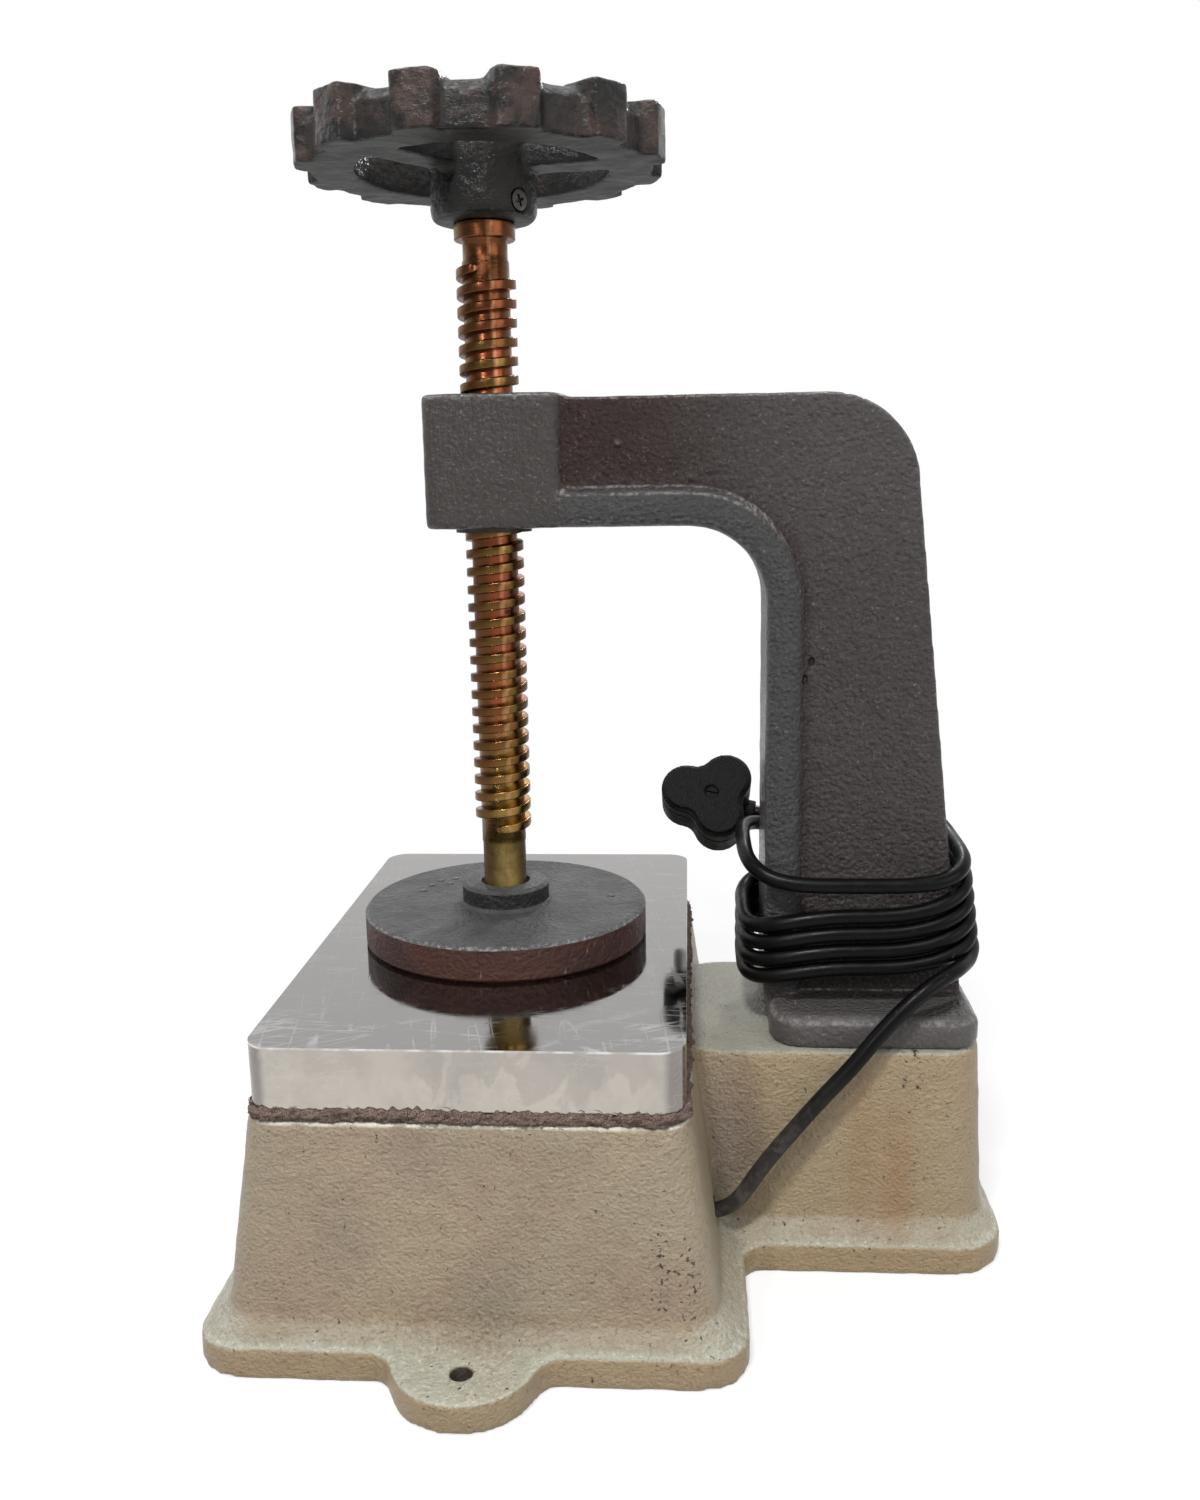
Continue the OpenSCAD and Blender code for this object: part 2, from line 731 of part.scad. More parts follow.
// Hex-head bolt, head downwards, with the seat of its head at z = 0
module hex_bolt(d, len, head_h) {
    translate([0, 0, -head_h]) cylinder(h = head_h, r = 0.87 * d, $fn = 6);
    cylinder(h = len, d = d);
}

module plate_bolts() {
    seat = base_h - lug_h - washer_h;
    color("#77797b") at_corners(plate_bolt_x, plate_bolt_y)
        translate([0, 0, seat]) hex_bolt(plate_bolt_d, plate_z + plate_bolt_bite - seat, 5.5);
}

module plate_bolt_washers() {
    color("#9b9da0") at_corners(plate_bolt_x, plate_bolt_y)
        ring(min(lug_r, plate_bolt_d), plate_bolt_d / 2 + slide_gap, base_h - lug_h - washer_h, washer_h);
}

// Wiring

module terminal_block() {
    color("#e6e2d6") difference() {
        translate([pad_x - block_t, block_y0, block_z0])
            cube([block_t, block_y1 - block_y0, block_z1 - block_z0]);
        for (y = terminal_y)
            translate([pad_x - block_t, y, (block_z0 + block_z1) / 2]) along_x() rod(-over, 7 + over, 6);
        for (p = block_screw_places)
            translate([pad_x - block_t - over, p[0], p[1]]) along_x() {
                cylinder(h = block_t + 2 * over, d = pad_screw_d + bolt_gap);
                cylinder(h = 6 + over, d = pad_screw_head_d + 1);
            }
    }
}

module terminal_screws() {
    color("#b08d3f") for (y = terminal_y)
        translate([pad_x - block_t + 3, y, (block_z0 + block_z1) / 2]) along_x() difference() {
            cylinder(h = 4, d = 5.8);
            translate([-0.5, -4, -over]) cube([1, 8, over + 0.8]);
        }
}

module terminal_block_screws() {
    color("#a6a8aa") for (p = block_screw_places)
        translate([pad_x - block_t + 6, p[0], p[1]]) pad_screw(block_t - 6);
}

module element_leads() {
    color("#d9d4c8") for (i = [0, 1]) {
        y = terminal_y[i];
        path = [
            [terminal_x, y, block_z1], [terminal_x - 0.5, y, block_z1 + 5],
            [terminal_x - 4, y, block_z1 + 14], [terminal_pin_x + 5, y, plate_z - 24],
            [terminal_pin_x + 0.5, y, plate_z - terminal_pin_hang - 5],
            [terminal_pin_x, y, plate_z - terminal_pin_hang]
        ];
        upright_tube(path, lead_d, 8);
    }
}

// Tube along a route in a plane of constant Y that starts and ends upright
module upright_tube(path, d, sides) {
    last = len(path) - 1;
    points = [
        for (i = [0 : last])
            let (t = i % last == 0 ? [0, 0, 1] : tangent(path, i), side = [0, 1, 0], up = cross(side, t))
                for (k = [0 : sides - 1])
                    path[i] + d / 2 * (cos(360 * k / sides) * side + sin(360 * k / sides) * up)
    ];
    polyhedron(points = points, faces = tube_faces(last, sides), convexity = 10);
}

module earth_lead() {
    color("#4f8a3f") {
        y0 = terminal_y[2];
        translate([terminal_x, y0, block_z1]) rotate([0, 0, 90]) {
            reach = earth_y - y0;
            bend = reach / 2;
            drop = block_z1 - earth_z - earth_washer / 2;
            translate([bend, 0, 4]) rotate([90, 0, 0]) rotate_extrude(angle = 180)
                translate([bend, 0]) circle(d = lead_d);
            rod(0, 4, lead_d);
            translate([reach, 0, 0]) rod(-drop, drop + 4, lead_d);
        }
    }
}

module earth_screw() {
    color("#b5923f") translate([pad_x, earth_y, earth_z]) {
        translate([-pad_x + terminal_x - lead_d, -earth_washer / 2, -earth_washer / 2])
            cube([pad_x - terminal_x + lead_d, earth_washer, earth_washer]);
        translate([-pad_x + terminal_x - lead_d, 0, 0]) pad_screw(pad_x - terminal_x + lead_d);
    }
}

module cord_grommet() {
    color("#1d1d1e") translate([grommet_in, entry_y, entry_z]) along_x()
        ring(grommet_d / 2, cord_d / 2 + slide_gap, 0, grommet_out - grommet_in - 0.5);
}

module cord_inside() {
    color("#1b1b1c") tube(inner_route, cord_d, 8, [-1, 0, 0], [0, 1, 0]);
}

module cord_clamp() {
    color("#2c2a28") difference() {
        translate([pad_x - 9, clamp_y - clamp_w / 2, clamp_z - 11]) cube([9, clamp_w, 22]);
        translate([inner_route[6][0], clamp_y, clamp_z]) {
            rotate([-90, 0, 0]) rod(-clamp_w, 2 * clamp_w, cord_d + 1.4);
            translate([0, -clamp_w, -cord_d / 2 - 0.7]) cube([10, 2 * clamp_w, cord_d + 1.4]);
        }
        for (p = clamp_screw_places)
            translate([pad_x, p[0], p[1]]) along_x() rod(-10, 12, pad_screw_d + bolt_gap);
    }
}

module cord_clamp_screws() {
    color("#a6a8aa") for (p = clamp_screw_places) translate([pad_x - 9, p[0], p[1]]) pad_screw(9);
}

// Arm

// Outline of the web in the XZ plane
module web_outline() {
    column_foot = (bend_z - foot_top) * column_taper;
    translate([boss_x, bar_z]) square([bend_x - boss_x, bar_h]);
    translate([bend_x, bend_z]) circle(bend_r);
    polygon([
        [column_x, foot_top - over], [column_x + column_w + column_foot, foot_top - over],
        [column_x + column_w, bend_z], [bend_x, bend_z + bend_r], [column_x, bend_z + bend_r]
    ]);
    difference() {
        translate([throat_x, throat_z]) square(throat_r + over);
        translate([throat_x, throat_z]) circle(throat_r);
    }
}

// Rounded rib along the inside of the arm: up the column, round the bend and out to the boss
module rib() {
    translate([column_x + rib_w / 2, 0, foot_top - over])
        linear_extrude(throat_z - foot_top + over) round_rect(rib_w, rib_t, rib_edge_r);
    translate([throat_x, 0, throat_z]) rotate([90, 0, 0]) rotate_extrude(angle = 90)
        translate([throat_r + rib_w / 2, 0]) round_rect(rib_w, rib_t, rib_edge_r);
    translate([boss_x, 0, bar_z + rib_w / 2])
        along_x() linear_extrude(throat_x - boss_x) round_rect(rib_w, rib_t, rib_edge_r);
}

module foot() {
    translate([arm_bolt_x, 0, 0]) hull() {
        layer(pedestal_h, foot_w, foot_l, foot_r);
        layer(foot_top - foot_chamfer, foot_w, foot_l, foot_r);
        layer(foot_top - thin, foot_w - 2 * foot_chamfer, foot_l - 2 * foot_chamfer, foot_r - foot_chamfer);
    }
}

module arm_casting() {
    color("#57524f") difference() {
        union() {
            translate([0, web_t / 2, 0]) rotate([90, 0, 0]) linear_extrude(web_t) web_outline();
            rib();
            translate([boss_x, 0, bar_z])
                linear_extrude(bar_h + boss_rise) round_rect(boss_w, rib_t, rib_edge_r + 1);
            foot();
        }
        rod(bar_z - over, bar_h + boss_rise + 2 * over, nut_d + 2 * slide_gap);
        translate([arm_bolt_x, 0, 0]) at_corners(arm_bolt_dx, arm_bolt_dy)
            rod(pedestal_h - over, arm_bolt_bite + 2 * over, arm_bolt_d + 2 * slide_gap);
    }
}

module arm_bolts() {
    seat = pedestal_h - pedestal_top - arm_washer_h;
    color("#77797b") translate([arm_bolt_x, 0, 0]) at_corners(arm_bolt_dx, arm_bolt_dy)
        translate([0, 0, seat]) hex_bolt(arm_bolt_d, pedestal_h + arm_bolt_bite - seat, arm_bolt_head_h);
}

module arm_bolt_washers() {
    seat = pedestal_h - pedestal_top - arm_washer_h;
    color("#9b9da0") translate([arm_bolt_x, 0, 0]) at_corners(arm_bolt_dx, arm_bolt_dy)
        ring(arm_bolt_d, arm_bolt_d / 2 + slide_gap, seat, arm_washer_h);
}

// Screw press

module screw_nut() {
    turns = ceil(nut_len / thread_pitch) + 2;
    below = thread_z + thread_pitch * (floor((nut_z - thread_z) / thread_pitch) - 1);
    color("#6e6349") difference() {
        rod(nut_z, nut_len, nut_d);
        translate([0, 0, below]) rotate([0, 0, thread_start]) thread(turns, thread_gap);
    }
}

module press_screw() {
    spigot_top = rim_z + rim_h - 4;
    groove = groove_w + 2 * running_gap;
    color("#a9812f") difference() {
        union() {
            translate([0, 0, thread_z]) rotate([0, 0, thread_start]) thread(thread_turns, 0);
            rod(journal_z, thread_z - journal_z, journal_d);
            rod(thread_top, shoulder_z - thread_top + over, neck_d);
            rod(shoulder_z, shoulder_h, shoulder_d);
            rod(shoulder_z, spigot_top - shoulder_z, spigot_d);
        }
        ring(journal_d, journal_d / 2 - groove_depth, keeper_z - groove / 2, groove);
    }
}

// Lobe that narrows outwards, along +X
module lobe_outline() {
    polygon([
        [rim_inner_r + 6, -lobe_foot_w / 2], [valley_r, -lobe_foot_w / 2], [wheel_r + over, -lobe_w / 2],
        [wheel_r + over, lobe_w / 2], [valley_r, lobe_foot_w / 2], [rim_inner_r + 6, lobe_foot_w / 2]
    ]);
}

module handwheel() {
    hub_r = hub_d / 2;
    hub_edge = 4;
    hub_top = hub_drop + rim_h - 2;
    bevel = 5;
    color("#3a3837") translate([0, 0, hub_z]) difference() {
        union() {
            rotate_extrude() {
                translate([0, hub_edge]) square([hub_r, hub_top - hub_edge]);
                square([hub_r - hub_edge, hub_edge + over]);
                translate([hub_r - hub_edge, hub_edge]) circle(hub_edge);
            }
            rotate_extrude() polygon([
                [rim_inner_r, hub_drop], [valley_r, hub_drop], [valley_r, hub_drop + rim_h - bevel],
                [valley_r - bevel, hub_drop + rim_h], [rim_inner_r + 3, hub_drop + rim_h],
                [rim_inner_r, hub_drop + rim_h - 3]
            ]);
            translate([0, 0, hub_drop]) rotate([0, 0, wheel_angle - 90]) {
                linear_extrude(lobe_h) intersection() {
                    circle(wheel_r);
                    for (i = [0 : lobe_count - 1]) rotate(360 * i / lobe_count) lobe_outline();
                }
                for (i = [0 : 2]) rotate(62 + 120 * i)
                    translate([0, -spoke_w / 2, 0]) cube([rim_inner_r + 3, spoke_w, spoke_h]);
            }
        }
        rod(-over, hub_top + 2 * over, spigot_d + 2 * slide_gap);
        translate([0, 0, set_screw_up]) rotate([0, 0, set_screw_angle - 90]) along_x() {
            cylinder(h = hub_r + over, d = set_screw_d + 2 * slide_gap);
            rod(hub_r - set_screw_sunk, set_screw_sunk + over, set_screw_head_d + 2 * bolt_gap);
        }
    }
}

// Puts +Z along the set screw, outwards from the axis of the press screw
module at_set_screw() {
    translate([0, 0, hub_z + set_screw_up]) rotate([0, 0, set_screw_angle - 90]) along_x() children();
}

module wheel_set_screw() {
    seat = hub_d / 2 - set_screw_sunk;
    tip = spigot_d / 2 + slide_gap;
    color("#2b2b2b") at_set_screw() difference() {
        union() {
            rod(tip, seat - tip + thin, set_screw_d);
            rod(seat, set_screw_head_h, set_screw_head_d);
        }
        for (a = [0, 90]) rotate([0, 0, a + 20])
            translate([-cross_l / 2, -cross_w / 2, seat + 1.2]) cube([cross_l, cross_w, 3]);
    }
}

module pressure_disc() {
    disc_r = disc_d / 2;
    collar_r = collar_d / 2;
    bore_d = journal_d + 2 * running_gap;
    edge = 1.5;
    mouth = 3;
    color("#4a4644") difference() {
        translate([0, 0, disc_z]) rotate_extrude($fn = 96) polygon([
            [0, 0], [disc_r - edge, 0], [disc_r, edge], [disc_r, disc_h - edge], [disc_r - edge, disc_h],
            [collar_r + edge, disc_h], [collar_r, disc_h + edge], [collar_r, disc_h + collar_h - edge],
            [collar_r - edge, disc_h + collar_h], [0, disc_h + collar_h]
        ]);
        rod(disc_z + disc_floor, disc_h + collar_h, bore_d);
        translate([0, 0, collar_top - mouth]) cylinder(h = mouth + over, d1 = bore_d, d2 = bore_d + 3.5);
        translate([0, 0, keeper_z]) rotate([-90, 0, 0]) cylinder(h = collar_d, d = keeper_d + 2 * slide_gap);
    }
}

module disc_retaining_screw() {
    tip_d = groove_w - 2 * running_gap;
    inner = journal_d / 2 - groove_depth + running_gap;
    outer = collar_d / 2 - 1;
    body = journal_d / 2 + running_gap + 0.5;
    color("#3d3d3d") translate([0, 0, keeper_z]) rotate([-90, 0, 0]) difference() {
        union() {
            rod(inner, outer - inner, tip_d);
            rod(body, outer - body, keeper_d);
        }
        translate([0, 0, outer - 3]) cylinder(h = 4, r = 1.7, $fn = 6);
    }
}

// Cord and plug

module cord_lead() {
    color("#1b1b1c") tube(concat(lead_route, [winding_route[0]]), cord_d, 8, [1, 0, 0], winding_start);
}

module cord_winding() {
    last = len(winding_route) - 1;
    color("#1b1b1c")
        tube(winding_route, cord_d, 6, winding_start, unit(winding_route[last] - winding_route[last - 1]));
}

// Puts the plug's own frame, earth pin along +X and pins along +Z, in its place behind the column
module plug_frame() {
    translate(plug_place) rotate([plug_tilt, 0, 0]) rotate([0, 0, plug_roll]) children();
}

module plug_outline(inset) {
    offset(r = -plug_blend_r, $fn = 24) offset(r = plug_blend_r - inset, $fn = 24) {
        translate([earth_pin_reach - 4, 0]) circle(plug_lobe_r, $fn = 32);
        for (s = [-1, 1]) translate([-live_pin_in, s * live_pin_dy]) circle(plug_lobe_r, $fn = 32);
    }
}

module plug_body() {
    color("#161616") plug_frame() difference() {
        union() {
            linear_extrude(plug_body_h) plug_outline(0);
            translate([-plug_outlet, 0, plug_outlet_z]) along_x() cylinder(h = plug_outlet, d = cord_d + 4);
        }
        translate([earth_pin_reach, 0, plug_body_h - 8]) cylinder(h = 10, d = 7 + 2 * slide_gap);
        for (s = [-1, 1]) translate([-live_pin_in, s * live_pin_dy, 0])
            rod(plug_body_h - 8, 10, 5 + 2 * slide_gap);
        rod(-over, 7, 3 + 2 * slide_gap);
    }
}

module plug_cover() {
    color("#141414") plug_frame() difference() {
        union() {
            translate([0, 0, -plug_cover_h + 2]) linear_extrude(plug_cover_h - 2) plug_outline(0);
            translate([0, 0, -plug_cover_h]) linear_extrude(2) plug_outline(1.5);
        }
        rod(-plug_cover_h - over, plug_cover_h + 2 * over, 3 + bolt_gap);
        rod(-plug_cover_h - over, 3 + over, plug_screw_d + bolt_gap);
    }
}

module plug_pins() {
    color("#c2a050") plug_frame() {
        translate([earth_pin_reach, 0, plug_body_h - 8]) cylinder(h = 8 + 20, d = 7);
        for (s = [-1, 1]) translate([-live_pin_in, s * live_pin_dy, 0]) rod(plug_body_h - 8, 8 + 15, 5);
    }
}

module plug_cover_screw() {
    color("#55565a") plug_frame() translate([0, 0, -plug_cover_h + 1]) difference() {
        union() {
            cylinder(h = 2, d = plug_screw_d);
            cylinder(h = plug_cover_h + 4, d = 3);
        }
        translate([-3.5, -0.5, -over]) cube([7, 1, 1 + over]);
    }
}

base_casting();
bottom_cover();
bottom_cover_screws();
packing_strip();
heating_plate();
heating_element();
insulation_board();
clamp_plate();
clamp_studs();
clamp_nuts();
plate_bolts();
plate_bolt_washers();
terminal_block();
terminal_screws();
terminal_block_screws();
element_leads();
earth_lead();
earth_screw();
cord_grommet();
cord_inside();
cord_clamp();
cord_clamp_screws();
arm_casting();
arm_bolts();
arm_bolt_washers();
screw_nut();
press_screw();
handwheel();
wheel_set_screw();
pressure_disc();
disc_retaining_screw();
cord_lead();
cord_winding();
plug_body();
plug_cover();
plug_pins();
plug_cover_screw();
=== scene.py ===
"""Looks of a bench vulcanizer for tube patches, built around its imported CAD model."""

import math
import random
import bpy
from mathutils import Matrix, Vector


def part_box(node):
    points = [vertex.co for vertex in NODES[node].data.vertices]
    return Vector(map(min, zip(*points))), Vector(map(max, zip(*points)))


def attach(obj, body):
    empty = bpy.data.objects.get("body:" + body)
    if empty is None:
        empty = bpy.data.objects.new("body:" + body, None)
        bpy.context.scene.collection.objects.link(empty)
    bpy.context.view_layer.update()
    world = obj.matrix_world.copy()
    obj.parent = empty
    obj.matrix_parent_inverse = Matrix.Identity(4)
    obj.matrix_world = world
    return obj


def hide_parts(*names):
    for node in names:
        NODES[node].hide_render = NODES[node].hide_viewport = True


bl_info = {
    "name": "Tube patch vulcanizer",
    "version": (1, 0, 0),
    "blender": (4, 5, 0),
    "location": "View3D > Sidebar > Vulcanizer",
    "description": "Dresses the press, its heated plate and its wound cord with detail and finishes",
    "category": "Add Mesh",
}

import bmesh
import bpy
import numpy as np
from mathutils import Matrix, Vector, noise

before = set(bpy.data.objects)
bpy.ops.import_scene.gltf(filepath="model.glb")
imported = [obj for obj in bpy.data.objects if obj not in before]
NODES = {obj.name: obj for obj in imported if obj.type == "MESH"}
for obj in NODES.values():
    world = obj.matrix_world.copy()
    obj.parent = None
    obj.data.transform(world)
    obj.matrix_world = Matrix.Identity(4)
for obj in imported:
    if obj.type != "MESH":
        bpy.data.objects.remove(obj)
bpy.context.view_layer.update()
MM = 0.001
FLOOR_Z = -0.0002
WHITE = (1.0, 1.0, 1.0, 1.0)

# Sizes that the part's source also has, in millimetres
CORD_D = 7.0
ENTRY_Z, LEAD_TOP = 29.0, 132.0
# The lead's places: X, Y and share of the rise from the entry to the winding
LEAD_PLACES = [
    (98.5, -68, 0), (103.5, -68.3, 0.015), (109, -68.8, 0.065), (119, -68.5, 0.214), (131, -67, 0.359),
    (144, -65, 0.505), (157, -63, 0.641), (169, -60, 0.777), (181, -57, 0.893), (193, -52, 0.971), (204, -43, 1),
]
TAIL_PLACES = [(172, 41.5, 183), (156, 45.5, 182), (141, 48, 179.5)]
WINDING_FROM, WINDING_TO = -0.1, 5.19
WINDING_Z, WINDING_PITCH = 128.3, 8.0
PLUG_PLACE = (98.5, 44.5, 188.2)
PLUG_TILT, PLUG_ROLL = -125, 192
PLUG_OUTLET, PLUG_OUTLET_Z = 22.0, 7.5
THREAD_D, THREAD_DEPTH, THREAD_PITCH, THREAD_TURNS = 26.0, 2.75, 8.0, 31
THREAD_START = 259
CREST_W, FLANK_W, CREST_EDGE = 3.2, 0.8, 0.4
JOURNAL_R, JOURNAL_H, GROOVE_R, END_R = 10.0, 20.0, 8.0, 9.0
NECK_R, NECK_H, SHOULDER_R, SHOULDER_H = 9.75, 8.0, 13.25, 7.0
PLATE_CORNER = 11.0
# Rounding of the thread's crests, and how far the packing reaches in under the plate, in millimetres
CREST_R, PACKING_DEPTH = 0.5, 5.5


# Mesh helpers


def add_object(name, data):
    """New object in the scene."""
    made = bpy.data.objects.new(name, data)
    bpy.context.scene.collection.objects.link(made)
    return made


def new_piece(name, verts, faces, body):
    """Mesh object in the frame that rides on a body; verts are in metres."""
    mesh = bpy.data.meshes.new(name)
    mesh.from_pydata([tuple(v) for v in verts], [], faces)
    mesh.validate()
    mesh.shade_smooth()
    piece = add_object(name, mesh)
    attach(piece, body)
    return piece


def grid_faces(rows, cols, closed_rows=False, start=0):
    """Quads between rows of points, each row a ring; the last row also meets the first where closed_rows is true."""
    faces = []
    for i in range(rows if closed_rows else rows - 1):
        here, there = start + i * cols, start + (i + 1) % rows * cols
        for j in range(cols):
            k = (j + 1) % cols
            faces.append((here + j, here + k, there + k, there + j))
    return faces


def lathe(profile, steps):
    """Points and faces of a profile of (radius, z) turned round Z; its two ends are closed."""
    turns = [2 * math.pi * k / steps for k in range(steps)]
    verts = [(r * math.cos(a), r * math.sin(a), z) for r, z in profile for a in turns]
    faces = grid_faces(len(profile), steps)
    faces.append(tuple(reversed(range(steps))))
    faces.append(tuple(range((len(profile) - 1) * steps, len(profile) * steps)))
    return verts, faces


def smooth_by_angle(piece, degrees):
    """Smooth shading with the edges sharper than an angle kept sharp."""
    piece.data.shade_smooth()
    piece.data.set_sharp_from_angle(angle=math.radians(degrees))


def catmull(points, per_span):
    """Smooth line through points, as a list of points."""
    p = [np.array(q, float) for q in points]
    p = [2 * p[0] - p[1], *p, 2 * p[-1] - p[-2]]
    line = []
    for i in range(1, len(p) - 2):
        a, b, c, d = p[i - 1 : i + 3]
        for k in range(per_span):
            t = k / per_span
            bend = (2 * a - 5 * b + 4 * c - d) * t * t + (3 * b - a - 3 * c + d) * t**3
            line.append(0.5 * (2 * b + (c - a) * t + bend))
    line.append(p[-2])
    return line


def resample(line, step):
    """Points an equal step apart along a line, both ends kept."""
    line = np.array(line)
    length = np.concatenate([[0], np.cumsum(np.linalg.norm(np.diff(line, axis=0), axis=1))])
    count = max(2, round(length[-1] / step) + 1)
    at = np.linspace(0, length[-1], count)
    return np.stack([np.interp(at, length, line[:, k]) for k in range(3)], axis=1)


def relax(line, rounds):
    """Evens out a line's points, its two ends kept."""
    line = np.array(line)
    for _ in range(rounds):
        line[1:-1] = 0.25 * line[:-2] + 0.5 * line[1:-1] + 0.25 * line[2:]
    return line


# Node helpers


class Field:
    """A value that changes over a surface. Arithmetic on it adds Math nodes to its node tree."""

    def __init__(self, socket):
        self.socket = socket

    def math(self, operation, a, b=0.0):
        return Field(put(self.socket.id_data, "ShaderNodeMath", {0: a, 1: b}, operation=operation).outputs[0])

    def __add__(self, other):
        return self.math("ADD", self, other)

    def __sub__(self, other):
        return self.math("SUBTRACT", self, other)

    def __rsub__(self, other):
        return self.math("SUBTRACT", other, self)

    def __mul__(self, other):
        return self.math("MULTIPLY", self, other)

    def __abs__(self):
        return self.math("ABSOLUTE", self)

    def spread(self, low, high, to_low=0.0, to_high=1.0):
        """This value moved from low..high to to_low..to_high, with soft ends."""
        ins = {"Value": self, "From Min": low, "From Max": high, "To Min": to_low, "To Max": to_high}
        return Field(put(self.socket.id_data, "ShaderNodeMapRange", ins, interpolation_type="SMOOTHSTEP").outputs[0])

    def between(self, at_none, at_full):
        """A value between two others, where this one is a mask from 0 to 1."""
        return self.spread(0.0, 1.0, at_none, at_full)


def connect(node, ins):
    """Sets or links a node's inputs by name or number."""
    for key, value in ins.items():
        value = getattr(value, "socket", value)
        if isinstance(value, bpy.types.NodeSocket):
            node.id_data.links.new(value, node.inputs[key])
        else:
            node.inputs[key].default_value = value


def put(tree, kind, ins=None, **settings):
    """New node with its settings and its inputs."""
    node = tree.nodes.new(kind)
    for key, value in settings.items():
        setattr(node, key, value)
    connect(node, ins or {})
    return node


def fields(node):
    """A node's outputs by name."""
    return {output.name: Field(output) for output in node.outputs}


def most(a, b):
    """The larger of two values, the first of them a field."""
    return a.math("MAXIMUM", a, b)


def as_rgba(colour):
    """A tone as a colour socket takes it."""
    return colour if isinstance(colour, bpy.types.NodeSocket) else (*colour, 1.0)


def mixed(factor, a, b):
    """Colour between a and b."""
    ins = {0: factor, 6: as_rgba(a), 7: as_rgba(b)}
    return put(factor.socket.id_data, "ShaderNodeMix", ins, data_type="RGBA").outputs[2]


def layered(colour, *layers):
    """A colour with tones laid over it in order, each through its mask."""
    for mask, over in layers:
        colour = mixed(mask, colour, over)
    return colour


def place(tree):
    """Coordinates in the frame of the part, in metres."""
    return put(tree, "ShaderNodeTexCoord").outputs["Object"]


def parts_of(vector):
    """The parts of a vector along X, Y and Z."""
    return [Field(part) for part in put(vector.id_data, "ShaderNodeSeparateXYZ", {0: vector}).outputs]


def facing(tree):
    """Parts of the surface's own direction along X, Y and Z."""
    return parts_of(put(tree, "ShaderNodeTexCoord").outputs["Normal"])


def stretched(at, scale):
    return put(at.id_data, "ShaderNodeMapping", {"Vector": at, "Scale": scale}).outputs[0]


def clouds(at, scale, detail, rough, distort=0.0):
    ins = {"Vector": at, "Scale": scale, "Detail": detail, "Roughness": rough, "Distortion": distort}
    return Field(put(at.id_data, "ShaderNodeTexNoise", ins).outputs["Fac"])


def from_axis(x, y):
    """Distance from the axis of the press screw."""
    return x.math("SQRT", x * x + y * y)


def per_metre(size_mm):
    """How many times a size in millimetres goes into a metre."""
    return size_mm.math("DIVIDE", 1000.0, size_mm)


def zones(at, places_mm, half_mm, inner):
    """1 in the middle of oval places, fading to 0 at their edges; places and half sizes along X, Y and Z."""
    mask = None
    for middle in places_mm:
        ins = {0: at, 1: [c * MM for c in middle]}
        shift = put(at.id_data, "ShaderNodeVectorMath", ins, operation="SUBTRACT").outputs[0]
        ins = {0: shift, 1: [1.0 / (c * MM) for c in half_mm]}
        even = put(at.id_data, "ShaderNodeVectorMath", ins, operation="MULTIPLY").outputs[0]
        away = put(at.id_data, "ShaderNodeVectorMath", {0: even}, operation="LENGTH").outputs["Value"]
        one = Field(away).spread(1.0, inner)
        mask = one if mask is None else most(mask, one)
    return mask


def rounded_rims(up, under=0.5):
    """1 on rounded edges that look half up, and less on those that look half down."""
    upper = up.spread(0.38, 0.58) * up.spread(0.82, 0.64)
    lower = up.spread(-0.25, -0.5) * up.spread(-0.97, -0.8, 0.0, under)
    return most(upper, lower)


# Effects that several finishes share


def fill_cast_skin(tree, given):
    at = place(tree)
    grain_scale = per_metre(given["Grain mm"])
    lumps = clouds(at, per_metre(given["Lump mm"]), 2.0, 0.55)
    grain = clouds(stretched(at, (1.0, 1.0, 1.25)), grain_scale, 4.0, 0.68, 0.15)
    ins = {"Vector": at, "Scale": grain_scale, "Smoothness": 0.7}
    pebbles = fields(put(tree, "ShaderNodeTexVoronoi", ins, feature="SMOOTH_F1"))["Distance"]
    return {
        "Height": lumps * 0.7 + grain - pebbles * given["Pebble"],
        "Grain": grain,
        "Pits": clouds(at, per_metre(given["Pit mm"]), 3.0, 0.65),
        "Patches": clouds(at, per_metre(given["Patch mm"]), 4.0, 0.6, 0.6),
    }


def fill_edges_and_hollows(tree, given):
    sharp = fields(put(tree, "ShaderNodeNewGeometry"))["Pointiness"]
    rough = clouds(place(tree), per_metre(given["Chip mm"]), 4.0, 0.65)
    bent = sharp + (rough - 0.5) * given["Raggedness"]
    # Edges, on convex rounded edges, serve as painted highlights; Hollows mark concave places
    return {"Edges": bent.spread(0.528, 0.552), "Hollows": bent.spread(0.503, 0.478)}


def fill_scratches(tree, given):
    at = place(tree)
    lines = None
    for turn, stretch in ((0.1, 22.0), (-0.5, 16.0), (1.4, 18.0)):
        turned = put(tree, "ShaderNodeMapping", {"Vector": at, "Rotation": (0.0, 0.0, turn)}).outputs[0]
        waves = clouds(stretched(turned, (1.0, stretch, stretch)), given["Density"], 1.0, 0.5)
        fine = abs(waves - 0.5).spread(0.022, 0.006)
        lines = fine if lines is None else most(lines, fine)
    return {"Lines": lines * clouds(at, 45.0, 3.0, 0.6).spread(0.40, 0.62)}


def fill_smudge(tree, given):
    at = place(tree)
    wide = clouds(at, per_metre(given["Size mm"]), 5.0, 0.62, 1.2)
    small = clouds(at, per_metre(given["Size mm"] * 0.17), 3.0, 0.6)
    return {"Smudge": (wide * 0.75 + small * 0.25).spread(0.42, 0.62), "Specks": small.spread(0.70, 0.76)}


